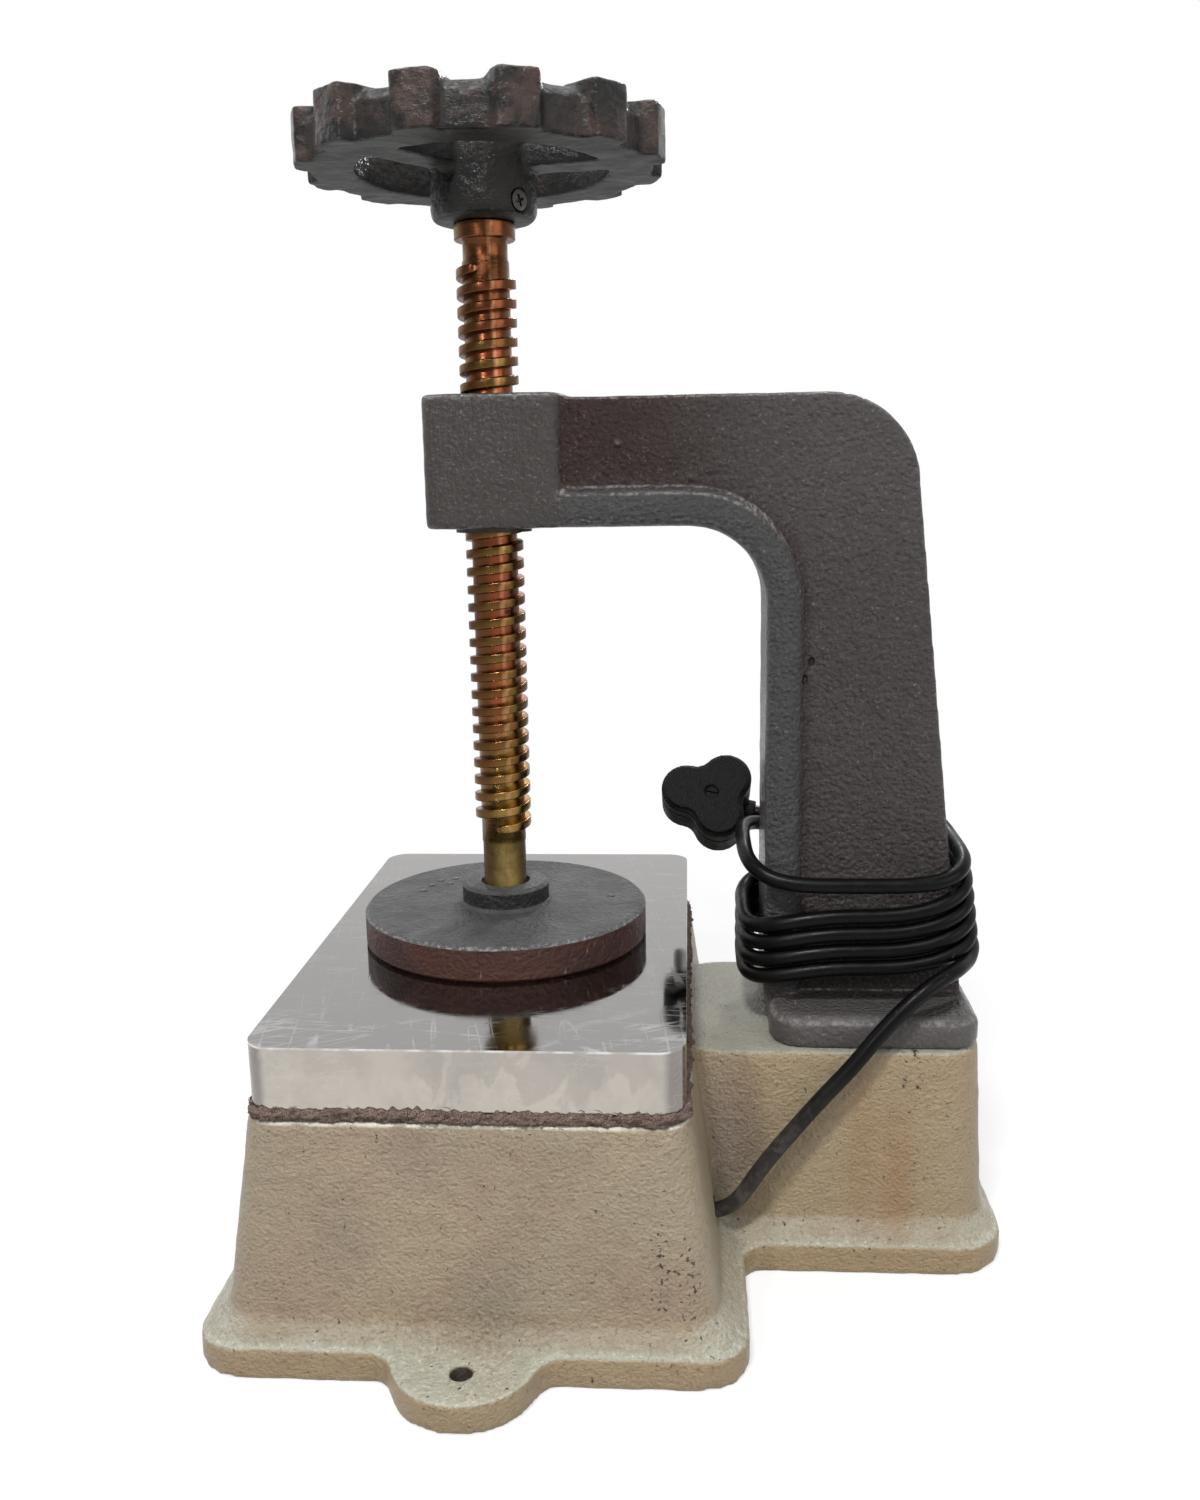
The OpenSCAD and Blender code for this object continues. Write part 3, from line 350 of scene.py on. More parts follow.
def fill_fibres(tree, given):
    at = place(tree)
    size = per_metre(given["Fibre mm"])
    flat = clouds(stretched(at, (1.0, 1.0, 6.0)), size, 5.0, 0.7, 1.5)
    cross = clouds(stretched(at, (5.0, 5.0, 1.0)), size, 4.0, 0.7, 0.8)
    return {"Fibres": (flat + cross) * 0.5}


# Name, inputs with their defaults, and what fills the group
EFFECTS = (
    ("Cast skin", {"Lump mm": 9.0, "Grain mm": 1.6, "Pit mm": 3.0, "Patch mm": 60.0, "Pebble": 0.4}, fill_cast_skin),
    ("Edges and hollows", {"Chip mm": 4.0, "Raggedness": 0.06}, fill_edges_and_hollows),
    ("Fine scratches", {"Density": 30.0}, fill_scratches),
    ("Smudge", {"Size mm": 30.0}, fill_smudge),
    ("Fibres", {"Fibre mm": 2.0}, fill_fibres),
)


def make_node_groups():
    """Builds each shared effect once, as a node group with named sockets."""
    for name, inputs, fill in EFFECTS:
        tree = bpy.data.node_groups.new(name, "ShaderNodeTree")
        for label, default in inputs.items():
            socket = tree.interface.new_socket(label, in_out="INPUT", socket_type="NodeSocketFloat")
            socket.default_value = default
        results = fill(tree, fields(tree.nodes.new("NodeGroupInput")))
        for label in results:
            tree.interface.new_socket(label, in_out="OUTPUT", socket_type="NodeSocketFloat")
        connect(tree.nodes.new("NodeGroupOutput"), results)


def shared(tree, effect, **values):
    """Places a shared effect with its own values; gives its outputs by name."""
    node = put(tree, "ShaderNodeGroup", node_tree=bpy.data.node_groups[effect])
    connect(node, {key.replace("_", " "): value for key, value in values.items()})
    return fields(node)


def cast_skin(tree, *values):
    """Skin of a casting: its lumps, grain, pits and patches in millimetres, and how pebbled it is."""
    node = put(tree, "ShaderNodeGroup", node_tree=bpy.data.node_groups["Cast skin"])
    connect(node, dict(enumerate(values)))
    return fields(node)


def start_material(name):
    """New material and its node tree."""
    material = bpy.data.materials.new(name)
    material.use_nodes = True
    return material, material.node_tree


def finish_material(material, colour, roughness, height, depth_mm, metallic=0.0, specular=0.5):
    """Fills the material's Principled shader, with a relief of the given depth."""
    tree = material.node_tree
    shader = next(n for n in tree.nodes if n.type == "BSDF_PRINCIPLED")
    bump = put(tree, "ShaderNodeBump", {"Height": height, "Distance": depth_mm * MM, "Strength": 1.0})
    ins = {"Base Color": colour, "Roughness": roughness, "Metallic": metallic, "Normal": bump.outputs[0]}
    connect(shader, {**ins, "Specular IOR Level": specular})
    return material


def dress(piece, material):
    """Gives a piece or a CAD node one material."""
    piece.data.materials.clear()
    piece.data.materials.append(material)


def dress_nodes(names, material):
    for name in names:
        dress(NODES[name], material)


# Finishes


def cream_enamel(finish):
    """Cream enamel over sand-cast iron: paler and greener where it looks up, a painted top light, dark in its pores
    from dirt and painted shadow, lighter on the crests of its grain as a painted highlight, chipped.
    """
    material, tree = start_material("cream_enamel")
    at, up = place(tree), facing(tree)[2]
    x, _, z = parts_of(at)
    skin = cast_skin(tree, 6.0, 1.7, 2.2, 75.0, 0.35)
    grain, patches = skin["Grain"], skin["Patches"]
    edge_masks = shared(tree, "Edges and hollows", Chip_mm=3.0, Raggedness=0.05)
    side = layered(
        finish.base_side,
        (patches.spread(0.36, 0.64), finish.base_brown),
        (clouds(at, 12.0, 3.0, 0.5).spread(0.46, 0.66, 0.0, 0.65), finish.base_green),
        # Darker towards the left: painted shade
        (x.spread(-0.01, -0.08, 0.0, 0.5), finish.base_brown),
    )
    # Faces that look up take a paler, greener tone: painted light from above
    top = mixed(patches.spread(0.44, 0.74, 0.0, 0.6), finish.base_lit_tops, finish.base_side)
    upright = up.spread(0.6, 0.2)
    # Rust that has seeped out on the pedestal, grey rubbed into the front, dirt in the corners
    seep = zones(at, [(163, -60, 58), (178, -60, 46)], (13, 14, 58), 0.0)
    rubbed = zones(at, [(-49, -138, 56), (10, -142, 34), (108, -58, 58), (-20, -138, 92)], (21, 16, 30), 0.0)
    nook = zones(at, [(107, -60, 62)], (20, 24, 56), 0.1)
    ear_dirt = zones(at, [(4, -140, 20)], (52, 14, 13), 0.0)
    foot_dirt = z.spread(0.034, 0.020) * up.spread(0.75, 0.3)
    # Painted highlights speckled over the flange tops near the fillet
    flange_glints = z.spread(0.036, 0.026) * up.spread(0.45, 0.8)
    # Thick bright paint along the rim under the packing, with a painted highlight on its rounded edge
    rim = z.spread(0.1008, 0.1022) * clouds(at, 90.0, 4.0, 0.6).spread(0.42, 0.58, 0.1, 0.9)
    # Chips: a few anywhere, many in some places
    many = zones(at, [(76, -138, 46), (87, -138, 42), (184, -57, 89), (0, -160, 13)], (6, 14, 26), 0.55)
    chips = (skin["Pits"] + many * 0.085).spread(0.672, 0.71, 0.0, 0.9)
    bore = zones(at, [(0, -158, 6), (0, 158, 6)], (8.4, 8.4, 60), 0.9) * up.spread(0.6, 0.3)
    colour = layered(
        mixed(up.spread(0.3, 0.8), side, top),
        # Troughs of the grain darker, partly dirt and partly painted shadow of the relief; its crests lighter, a
        # painted highlight
        (grain.spread(0.46, 0.30, 0.0, 0.42), finish.pore_dirt_and_shade),
        (grain.spread(0.56, 0.72, 0.0, 0.30), finish.base_lit_tops),
        (x.spread(0.100, 0.112) * upright * 0.5, finish.ochre_and_warm_reflection),
        (seep * patches.spread(0.25, 0.6, 0.25, 0.8), finish.rust_wash),
        (rubbed * grain.spread(0.3, 0.6, 0.55, 0.2), finish.rubbed_grey),
        (nook * grain.spread(0.3, 0.62, 0.8, 0.35), finish.nook_brown),
        # A warmer strip low on the upright faces: painted reflection of warm light from below
        (z.spread(0.016, 0.011) * upright * 0.6, finish.ochre_and_warm_reflection),
        (z.spread(0.05, 0.08) * up.spread(0.5, 0.85) * 0.75, finish.base_dull),
        (ear_dirt * grain.spread(0.62, 0.40, 0.1, 0.6), finish.pore_dirt_and_shade),
        (foot_dirt * skin["Pits"].spread(0.56, 0.70, 0.0, 0.35), finish.pore_dirt_and_shade),
        (flange_glints * grain.spread(0.54, 0.66, 0.0, 0.55), finish.base_rim_and_highlight),
        # Lighter along rounded edges: painted highlight
        (edge_masks["Edges"] * 0.25, finish.base_rim_and_highlight),
        (rim * x.spread(0.096, 0.094), finish.base_rim_and_highlight),
        (chips, finish.chip),
        (edge_masks["Hollows"] * 0.3, finish.pore_dirt_and_shade),
        (bore * 0.9, finish.chip),
    )
    rough = up.spread(0.2, 0.85, 0.36, 0.18)
    return finish_material(material, colour, rough, skin["Height"] - chips * 0.5, 1.35, specular=0.45)


def hammered_enamel(finish):
    """Dark grey enamel over the arm's pebbled casting, browner in the web, greyer on the ribs and foot."""
    material, tree = start_material("hammered_enamel")
    at = place(tree)
    x, y, z = parts_of(at)
    skin = cast_skin(tree, 7.0, 2.1, 3.0, 50.0, 0.6)
    edge_masks = shared(tree, "Edges and hollows", Chip_mm=2.5, Raggedness=0.05)
    on_rib = abs(y).spread(0.0236, 0.0262)
    boss = x.spread(0.036, 0.031)
    foot = z.spread(0.118, 0.110)
    corner = x.spread(0.09, 0.16) * z.spread(0.29, 0.35)
    in_bar = x.spread(0.125, 0.055) * z.spread(0.338, 0.35)
    # Painted highlights along rounded edges, broken up by noise
    rims = most(edge_masks["Edges"] * 0.7, rounded_rims(facing(tree)[2]))
    gleam = rims * clouds(at, 330.0, 4.0, 0.65).spread(0.42, 0.62, 0.06, 0.6) * foot.between(1.0, 0.65)
    # Painted glints: small light specks over the pebbled skin
    glint_specks = clouds(at, 800.0, 3.0, 0.6).spread(0.60, 0.68) * skin["Pits"].spread(0.44, 0.62, 0.04, 0.3)
    pit = zones(at, [(140.9, -23, 265.9), (138, -23, 258)], (1.6, 4, 2.4), 0.5)
    pimple = zones(at, [(88.2, -23, 345.5), (57.3, -23, 360.2)], (3.2, 5, 2.6), 0.0)
    colour = layered(
        finish.arm_grey,
        (skin["Patches"].spread(0.40, 0.66, 0.0, 0.7), finish.arm_brown),
        (corner * 0.8, finish.arm_light),
        (on_rib * (1.0 - boss) * 0.85, finish.rib_grey),
        (boss, finish.boss_grey),
        (in_bar * (1.0 - on_rib) * 0.9, finish.arm_red),
        (foot, finish.foot_grey),
        (edge_masks["Hollows"] * 0.5, finish.arm_red),
        (gleam, finish.worn_grey_and_highlight),
        (glint_specks, finish.worn_grey_and_highlight),
        (pit, finish.chip),
        (pimple * 0.25, finish.worn_grey_and_highlight),
    )
    rough = skin["Patches"].spread(0.3, 0.7, 0.15, 0.26) - foot * 0.02
    brushed = clouds(stretched(at, (1.0, 1.0, 0.12)), 420.0, 3.0, 0.6)
    height = skin["Height"] * (1.0 - most(foot * 0.6, boss * 0.72))
    height = height + brushed * (boss * 0.35) + (pimple - pit) * 1.6
    return finish_material(material, colour, rough, height, 2.2, specular=0.34)


def charcoal_enamel(finish):
    """Glossy charcoal enamel that has run thick over a rough casting, brown where it is thin."""
    material, tree = start_material("charcoal_enamel")
    at, up = place(tree), facing(tree)[2]
    x, y, _ = parts_of(at)
    skin = cast_skin(tree, 7.0, 3.2, 4.0, 18.0, 0.3)
    edge_masks = shared(tree, "Edges and hollows", Chip_mm=2.0, Raggedness=0.05)
    on_lobes = from_axis(x, y).spread(0.070, 0.076)
    down = up.spread(-0.6, -0.9)
    rims = most(edge_masks["Edges"] * 0.5, rounded_rims(up, 0.3)) * on_lobes.between(0.3, 1.0)
    colour = layered(
        finish.wheel_black,
        (skin["Patches"].spread(0.42, 0.60) * on_lobes.between(0.15, 0.9), finish.wheel_brown),
        # Darker in the hollows and on faces that look down: painted shade
        (edge_masks["Hollows"] * 0.7, finish.wheel_shade),
        # Painted highlights along the rounded edges of the lobes
        (rims * clouds(at, 330.0, 4.0, 0.65).spread(0.46, 0.62, 0.02, 0.6), finish.worn_grey_and_highlight),
        (down * 0.8, finish.wheel_shade),
    )
    rough = skin["Patches"].spread(0.3, 0.7, 0.12, 0.24) + down * 0.25
    return finish_material(material, colour, rough, skin["Height"] * down.between(1.0, 0.35), 0.9, specular=0.15)


def disc_paint(finish):
    """Cast disc under thin blue-grey paint, with beads of paint on top and a rusty scuffed rim."""
    material, tree = start_material("disc_paint")
    at, up = place(tree), facing(tree)[2]
    x, y, _ = parts_of(at)
    radius, outside = from_axis(x, y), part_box("pressure_disc")[1].x
    skin = cast_skin(tree, 5.0, 2.0, 3.0, 26.0, 0.5)
    scuffs = clouds(stretched(at, (1.0, 1.0, 0.22)), 480.0, 4.0, 0.65)
    rim = layered(
        finish.disc_rust,
        (skin["Patches"].spread(0.38, 0.62), finish.disc_brown),
        (scuffs.spread(0.62, 0.74, 0.0, 0.55), finish.worn_grey_and_highlight),
    )
    # A broken light line round the disc's top edge: painted highlight
    edge = radius.spread(outside - 2.2 * MM, outside - 0.6 * MM) * up.spread(0.1, 0.4)
    colour = layered(
        finish.disc_grey,
        (shared(tree, "Smudge", Size_mm=22.0)["Smudge"], finish.disc_dark),
        (up.spread(0.6, 0.2) * radius.spread(0.045, 0.055), rim),
        (radius.spread(0.0235, 0.0200) * up.spread(0.7, 0.3) * 0.9, finish.wheel_black),
        (edge * skin["Grain"].spread(0.46, 0.66, 0.1, 0.8), finish.worn_grey_and_highlight),
        (skin["Pits"].spread(0.70, 0.76, 0.0, 0.45), finish.worn_grey_and_highlight),
    )
    bead_places = [(-42.6, 13.4), (-37.2, 29.8), (-31.7, 24.9), (-30.2, 33.3), (-40, 22), (49.7, 6.9)]
    beads = zones(at, [(*spot, 150) for spot in bead_places], (2.6, 3.6, 6), 0.0)
    rough = most(skin["Patches"].spread(0.3, 0.7, 0.30, 0.50) - beads * 0.36, 0.0)
    return finish_material(material, colour, rough, skin["Height"] + beads * 3.0, 1.1, specular=0.22)


def polished_plate(finish):
    """Ground and polished light alloy with fine scratches and handling smears."""
    material, tree = start_material("polished_plate")
    at = place(tree)
    x, y, z = parts_of(at)
    turn, _, up = facing(tree)
    turn = abs(turn)
    lines = shared(tree, "Fine scratches", Density=7.0)["Lines"]
    smear = shared(tree, "Smudge", Size_mm=42.0)["Smudge"]
    grind = clouds(stretched(at, (6.0, 160.0, 160.0)), 8.0, 3.0, 0.6)
    drips = clouds(stretched(at, (1.0, 1.0, 0.45)), 34.0, 4.0, 0.55, 1.0)
    on_side = up.spread(0.7, 0.3)
    middle = x.spread(-0.035, -0.005) * x.spread(0.085, 0.055, 0.25, 1.0)
    stain = (drips + z.spread(0.108, 0.130) * 0.12).spread(0.565, 0.61)
    # A broken bright line along the top edge: painted highlight
    edge = z.spread(0.1318, 0.1324) * up.spread(0.97, 0.8)
    front = y.spread(-0.09, -0.128) * up.spread(0.8, 0.95)
    colour = layered(
        # Top and sides are one alloy in two tones: painted reflection, darker on top, lighter and warmer on the sides
        finish.plate_top,
        (on_side, finish.plate_side),
        (smear * 0.25, finish.plate_grey),
        (stain * (on_side * 0.38 * middle.between(0.2, 1.0)), finish.plate_grey),
        # Darker on the rounded corners: painted dark reflection
        (turn.spread(0.12, 0.5) * turn.spread(0.995, 0.9) * 0.6, finish.plate_corner_reflection),
        (edge * clouds(at, 60.0, 3.0, 0.6).spread(0.42, 0.6, 0.1, 0.8), finish.plate_bright),
        (lines * front.between(0.1, 0.4), finish.plate_bright),
    )
    rough = smear.between(0.05, 0.12) + lines * 0.1 + on_side * 0.12
    return finish_material(material, colour, rough, lines * -0.5 + grind * 0.35, 0.012, metallic=1.0)


def zinc_gold(finish):
    """Yellow-passivated zinc: copper red between the threads, olive gold on their crests, with painted shade in brown
    down the sides and a painted highlight line between them.
    """
    material, tree = start_material("zinc_gold")
    at = place(tree)
    x, y, z = parts_of(at)
    turn_x, turn_y, _ = facing(tree)
    drift = clouds(stretched(at, (1.0, 1.0, 0.4)), 70.0, 3.0, 0.55, 0.5)
    small = clouds(at, 320.0, 3.0, 0.6)
    turned = clouds(stretched(at, (1.0, 1.0, 22.0)), 55.0, 2.0, 0.5)
    # Passivation runs from olive at the bottom to copper at the top
    rise = z.spread(0.185, 0.30) + (drift - 0.5) * 1.4
    root = mixed(rise.spread(0.15, 0.75), finish.zinc_olive, finish.zinc_copper)
    crest = mixed(drift.spread(0.40, 0.62), finish.zinc_yellow, finish.zinc_orange)
    on_crest = from_axis(x, y).spread(0.0109, 0.0122)
    journal = z.spread(0.1815, 0.178)
    # Painted shade in darker bands down both sides, and a painted highlight line between them, set by which way the
    # surface faces
    side_shading = turn_x * 0.97 + turn_y * 0.14 + (drift - 0.5) * 0.5
    grease = shared(tree, "Smudge", Size_mm=9.0)["Smudge"]
    nick = zones(at, [(8.3, -10.0, 287.6)], (4.5, 4.0, 2.4), 0.6)
    colour = layered(
        mixed(on_crest, root, crest),
        (z.spread(0.222, 0.192, 0.0, 0.8), finish.zinc_olive),
        (journal, finish.zinc_gold),
        (z.spread(0.404, 0.408), finish.zinc_neck),
        (abs(side_shading - 0.16).spread(0.16, 0.72, 0.0, 0.82), finish.zinc_brown_and_shade),
        (abs(side_shading - 0.2).spread(0.12, 0.03, 0.0, 0.4), finish.zinc_highlight),
        (grease * ((1.0 - on_crest) * 0.35), finish.zinc_brown_and_shade),
        (nick * 0.95, finish.chip),
        (turned.spread(0.58, 0.70, 0.0, 0.35), finish.zinc_brown_and_shade),
    )
    rough = small.spread(0.35, 0.7, 0.22, 0.38)
    return finish_material(material, colour, rough, turned + small, 0.035, metallic=journal.between(1.0, 0.35))


def cord_rubber(finish):
    """Satin black cord sheath, dusty where it leaves the base."""
    material, tree = start_material("cord_rubber")
    at = place(tree)
    dust = shared(tree, "Smudge", Size_mm=14.0)
    worn = parts_of(at)[2].spread(0.10, 0.035) * dust["Smudge"].between(0.18, 0.42)
    colour = layered(finish.cord_black, (dust["Specks"] * 0.3, finish.dust), (worn, finish.dust))
    fine = clouds(at, 900.0, 2.0, 0.5)
    return finish_material(material, colour, dust["Smudge"].between(0.32, 0.46), fine, 0.04, specular=0.13)


def plug_plastic(finish):
    """Black moulded plastic with a fine spark-eroded texture."""
    material, tree = start_material("plug_plastic")
    cells = fields(put(tree, "ShaderNodeTexVoronoi", {"Vector": place(tree), "Scale": 1100.0}))["Distance"]
    dust = shared(tree, "Smudge", Size_mm=12.0)["Smudge"]
    colour = mixed(dust * 0.04, finish.plug_black, finish.dust)
    return finish_material(material, colour, dust.between(0.5, 0.66), cells, 0.25, specular=0.1)


def packing_fibre(finish):
    """Brown fibrous packing, crumbling where it was squeezed out."""
    material, tree = start_material("packing_fibre")
    fibres = shared(tree, "Fibres", Fibre_mm=1.6)["Fibres"]
    smear = shared(tree, "Smudge", Size_mm=9.0)["Smudge"]
    colour = mixed(fibres.spread(0.44, 0.585), finish.packing_dark, finish.packing_light)
    colour = mixed(smear * 0.4, colour, finish.packing_brown)
    return finish_material(material, colour, fibres.spread(0.3, 0.7, 0.8, 0.95), fibres, 1.2)


def plated_steel(name, shade, tarnish, rough_low, rough_high):
    """Small metal parts: a tone with tarnish and scratches."""
    material, tree = start_material(name)
    smear = shared(tree, "Smudge", Size_mm=6.0)["Smudge"]
    lines = shared(tree, "Fine scratches", Density=40.0)["Lines"]
    hollows = shared(tree, "Edges and hollows", Chip_mm=1.0, Raggedness=0.05)["Hollows"]
    colour = layered(shade, (smear * 0.6, tarnish), (hollows * 0.4, tarnish))
    rough = smear.between(rough_low, rough_high) + lines * 0.1
    return finish_material(material, colour, rough, lines, -0.02, metallic=1.0)


def heater_board(name, shade, second, rough):
    """Mica, insulation board and woven sleeving inside the base."""
    material, tree = start_material(name)
    fibres = shared(tree, "Fibres", Fibre_mm=3.0)["Fibres"]
    smear = shared(tree, "Smudge", Size_mm=20.0)["Smudge"]
    colour = layered(shade, (fibres.spread(0.38, 0.64), second), (smear * 0.25, second))
    return finish_material(material, colour, fibres.spread(0.3, 0.7, rough, rough + 0.15), fibres, 0.1)


def glazed_ceramic(finish):
    """Glazed steatite of the terminal block."""
    material, tree = start_material("glazed_ceramic")
    skin = cast_skin(tree, 6.0, 1.0, 4.0, 18.0, 0.1)
    colour = mixed(skin["Patches"].spread(0.35, 0.7), finish.ceramic, finish.ceramic_shade)
    colour = mixed(skin["Pits"].spread(0.64, 0.72, 0.0, 0.4), colour, finish.pore_dirt_and_shade)
    return finish_material(material, colour, skin["Patches"].spread(0.3, 0.7, 0.18, 0.3), skin["Height"], 0.08)


# Values that a user would change


def tone(default, name, description):
    return bpy.props.FloatVectorProperty(
        name=name, description=description, subtype="COLOR", size=3, min=0.0, max=1.0, default=default
    )


def length(default, name, description):
    return bpy.props.FloatProperty(name=name, description=description, unit="LENGTH", min=0.0, default=default)


def power(default, name, description):
    return bpy.props.FloatProperty(name=name, description=description, unit="POWER", min=0.0, default=default)


def strength(default, name, description):
    return bpy.props.FloatProperty(name=name, description=description, min=0.0, default=default)


class VulcanizerSizes(bpy.types.PropertyGroup):
    """Sizes of the detail that is added to the CAD model"""

    cord_diameter: length(CORD_D * MM, "Cord diameter", "Outside diameter of the mains cord")
    base_cell: length(1.6 * MM, "Base cell", "Grid on which the base casting's edges are rounded")
    arm_cell: length(1.5 * MM, "Arm cell", "Grid on which the arm casting's edges are rounded")
    wheel_cell: length(1.1 * MM, "Wheel cell", "Grid on which the handwheel's edges are rounded")
    plug_cell: length(0.6 * MM, "Plug cell", "Grid on which the plug's edges are rounded")
    plate_edge: length(0.8 * MM, "Plate edge", "Width of the broken edge round the heating plate")
    packing_bulge: length(2.0 * MM, "Packing bulge", "How far the packing is squeezed out under the plate")
    fibre_count: bpy.props.IntProperty(
        name="Loose fibres", description="Number of loose fibres along the packing", min=0, default=520
    )


class VulcanizerFinishes(bpy.types.PropertyGroup):
    """Colours of the finishes"""

    base_side: tone((0.39, 0.312, 0.212), "Base sides", "Cream enamel on upright faces")
    base_green: tone((0.36, 0.325, 0.225), "Base green", "Greener enamel in patches")
    base_brown: tone((0.335, 0.25, 0.175), "Base brown", "Browned enamel in patches")
    # Painted light from above on faces that look up, also painted highlights on the crests of the grain
    base_lit_tops: tone((0.43, 0.425, 0.345), "Base tops", "Cream enamel on faces that look up")
    # Also a painted warm reflection low on the upright faces
    ochre_and_warm_reflection: tone((0.37, 0.262, 0.137), "Base ochre", "Yellower enamel round the foot")
    base_dull: tone((0.238, 0.229, 0.186), "Base dull", "Dusty enamel on top of the pedestal")
    # Thick bright enamel on the rim, also the tone of painted highlights on the base
    base_rim_and_highlight: tone((0.74, 0.71, 0.60), "Base rim", "Thick enamel along the rim")
    # Dirt in pores, also painted shadow in the troughs of the grain
    pore_dirt_and_shade: tone((0.185, 0.125, 0.072), "Pores", "Dirt in the pores of the enamel")
    rust_wash: tone((0.315, 0.195, 0.095), "Rust wash", "Rust that has seeped through the enamel")
    rubbed_grey: tone((0.205, 0.172, 0.148), "Rubbed grey", "Dirt that is rubbed into the enamel")
    nook_brown: tone((0.175, 0.128, 0.112), "Nook brown", "Dirt where the pedestal meets the box")
    chip: tone((0.020, 0.015, 0.012), "Chips", "Bare spots in the enamel")
    arm_grey: tone((0.053, 0.046, 0.044), "Arm grey", "Hammered enamel of the arm")
    arm_brown: tone((0.042, 0.035, 0.032), "Arm brown", "Thin places in the arm's enamel")
    arm_light: tone((0.072, 0.063, 0.062), "Arm light", "Lighter enamel on the bend")
    arm_red: tone((0.024, 0.01, 0.008), "Arm red", "Bare primer in the arm's recess")
    boss_grey: tone((0.036, 0.0315, 0.029), "Boss grey", "Smoother enamel of the boss")
    rib_grey: tone((0.053, 0.053, 0.053), "Rib grey", "Enamel of the ribs")
    # Also the tone of painted highlights and glints on the arm, wheel and disc
    worn_grey_and_highlight: tone((0.3, 0.29, 0.285), "Worn edge", "Enamel rubbed thin along edges")
    foot_grey: tone((0.075, 0.068, 0.066), "Foot grey", "Smooth enamel of the arm's foot")
    wheel_black: tone((0.017, 0.0166, 0.0163), "Wheel black", "Enamel of the handwheel")
    wheel_brown: tone((0.06, 0.041, 0.036), "Wheel brown", "Thin places in the wheel's enamel")
    # Painted shade under the handwheel and in its hollows
    wheel_shade: tone((0.027, 0.028, 0.025), "Wheel underside", "Enamel under the handwheel")
    disc_grey: tone((0.056, 0.057, 0.06), "Disc grey", "Paint on the pressure disc")
    disc_dark: tone((0.040, 0.038, 0.038), "Disc dark", "Greasy places on the pressure disc")
    disc_rust: tone((0.068, 0.027, 0.02), "Disc rust", "Rust on the disc's rim")
    disc_brown: tone((0.046, 0.023, 0.019), "Disc brown", "Old paint on the disc's rim")
    # Top and sides differ as painted reflection
    plate_top: tone((0.3, 0.292, 0.287), "Plate top", "Polished face of the plate")
    plate_side: tone((0.5, 0.46, 0.41), "Plate side", "Polished sides of the plate")
    plate_grey: tone((0.31, 0.29, 0.275), "Plate grey", "Dulled alloy")
    # Painted dark reflection in the rounded corners
    plate_corner_reflection: tone((0.13, 0.12, 0.12), "Plate dark", "Dulled alloy in the rounded corners")
    # Also a painted highlight along the plate's top edge
    plate_bright: tone((0.80, 0.80, 0.80), "Plate bright", "Freshly scratched alloy")
    zinc_olive: tone((0.33, 0.215, 0.062), "Zinc olive", "Greenish passivation")
    zinc_gold: tone((0.36, 0.27, 0.08), "Zinc gold", "Bright passivation on the journal")
    zinc_yellow: tone((0.155, 0.092, 0.027), "Zinc yellow", "Yellow passivation")
    zinc_orange: tone((0.17, 0.062, 0.022), "Zinc orange", "Orange passivation")
    zinc_copper: tone((0.25, 0.067, 0.03), "Zinc copper", "Reddish passivation")
    zinc_neck: tone((0.165, 0.054, 0.0235), "Zinc neck", "Browner passivation under the handwheel")
    # Also painted shade down both sides of the screw
    zinc_brown_and_shade: tone((0.085, 0.040, 0.016), "Zinc brown", "Darkest passivation")
    # Painted highlight line down the screw
    zinc_highlight: tone((0.6, 0.3, 0.15), "Zinc light", "Lightest passivation")
    cord_black: tone((0.002, 0.002, 0.002), "Cord black", "Sheath of the cord")
    plug_black: tone((0.003, 0.003, 0.003), "Plug black", "Moulding of the plug")
    dust: tone((0.19, 0.165, 0.150), "Dust", "Dust on black parts")
    packing_dark: tone((0.042, 0.023, 0.018), "Packing dark", "Soaked packing")
    packing_light: tone((0.42, 0.305, 0.25), "Packing light", "Dry packing")
    packing_brown: tone((0.17, 0.105, 0.083), "Packing brown", "Scorched packing")
    ceramic: tone((0.72, 0.69, 0.61), "Ceramic", "Terminal block")
    ceramic_shade: tone((0.60, 0.56, 0.47), "Ceramic shade", "Darker glaze on the terminal block")


class VulcanizerStage(bpy.types.PropertyGroup):
    """Floor and light"""

    floor_tone: tone((0.93, 0.93, 0.93), "Floor", "Colour of the floor")
    floor_bounce: tone((0.38, 0.37, 0.36), "Floor bounce", "Colour of the light that the floor throws back")
    key_power: power(19.0, "Key light", "Power of the main lamp")
    fill_power: power(7.0, "Fill light", "Power of the lamp on the column's side")
    side_power: power(4.0, "Side light", "Power of the lamp on the free side")
    top_power: power(3.0, "Top light", "Power of the lamp overhead")
    back_power: power(6.0, "Back light", "Power of the lamp behind the press")
    glint_power: power(4.0, "Glint light", "Power of the small lamp in front")
    sky_strength: strength(0.30, "Room light", "Strength of the even light all round")
    room_strength: strength(0.4, "Room in reflections", "Brightness of the room that shiny parts mirror")


def finishes():
    return bpy.context.scene.vulcanizer_finishes


def sizes():
    return bpy.context.scene.vulcanizer_sizes


# Camera


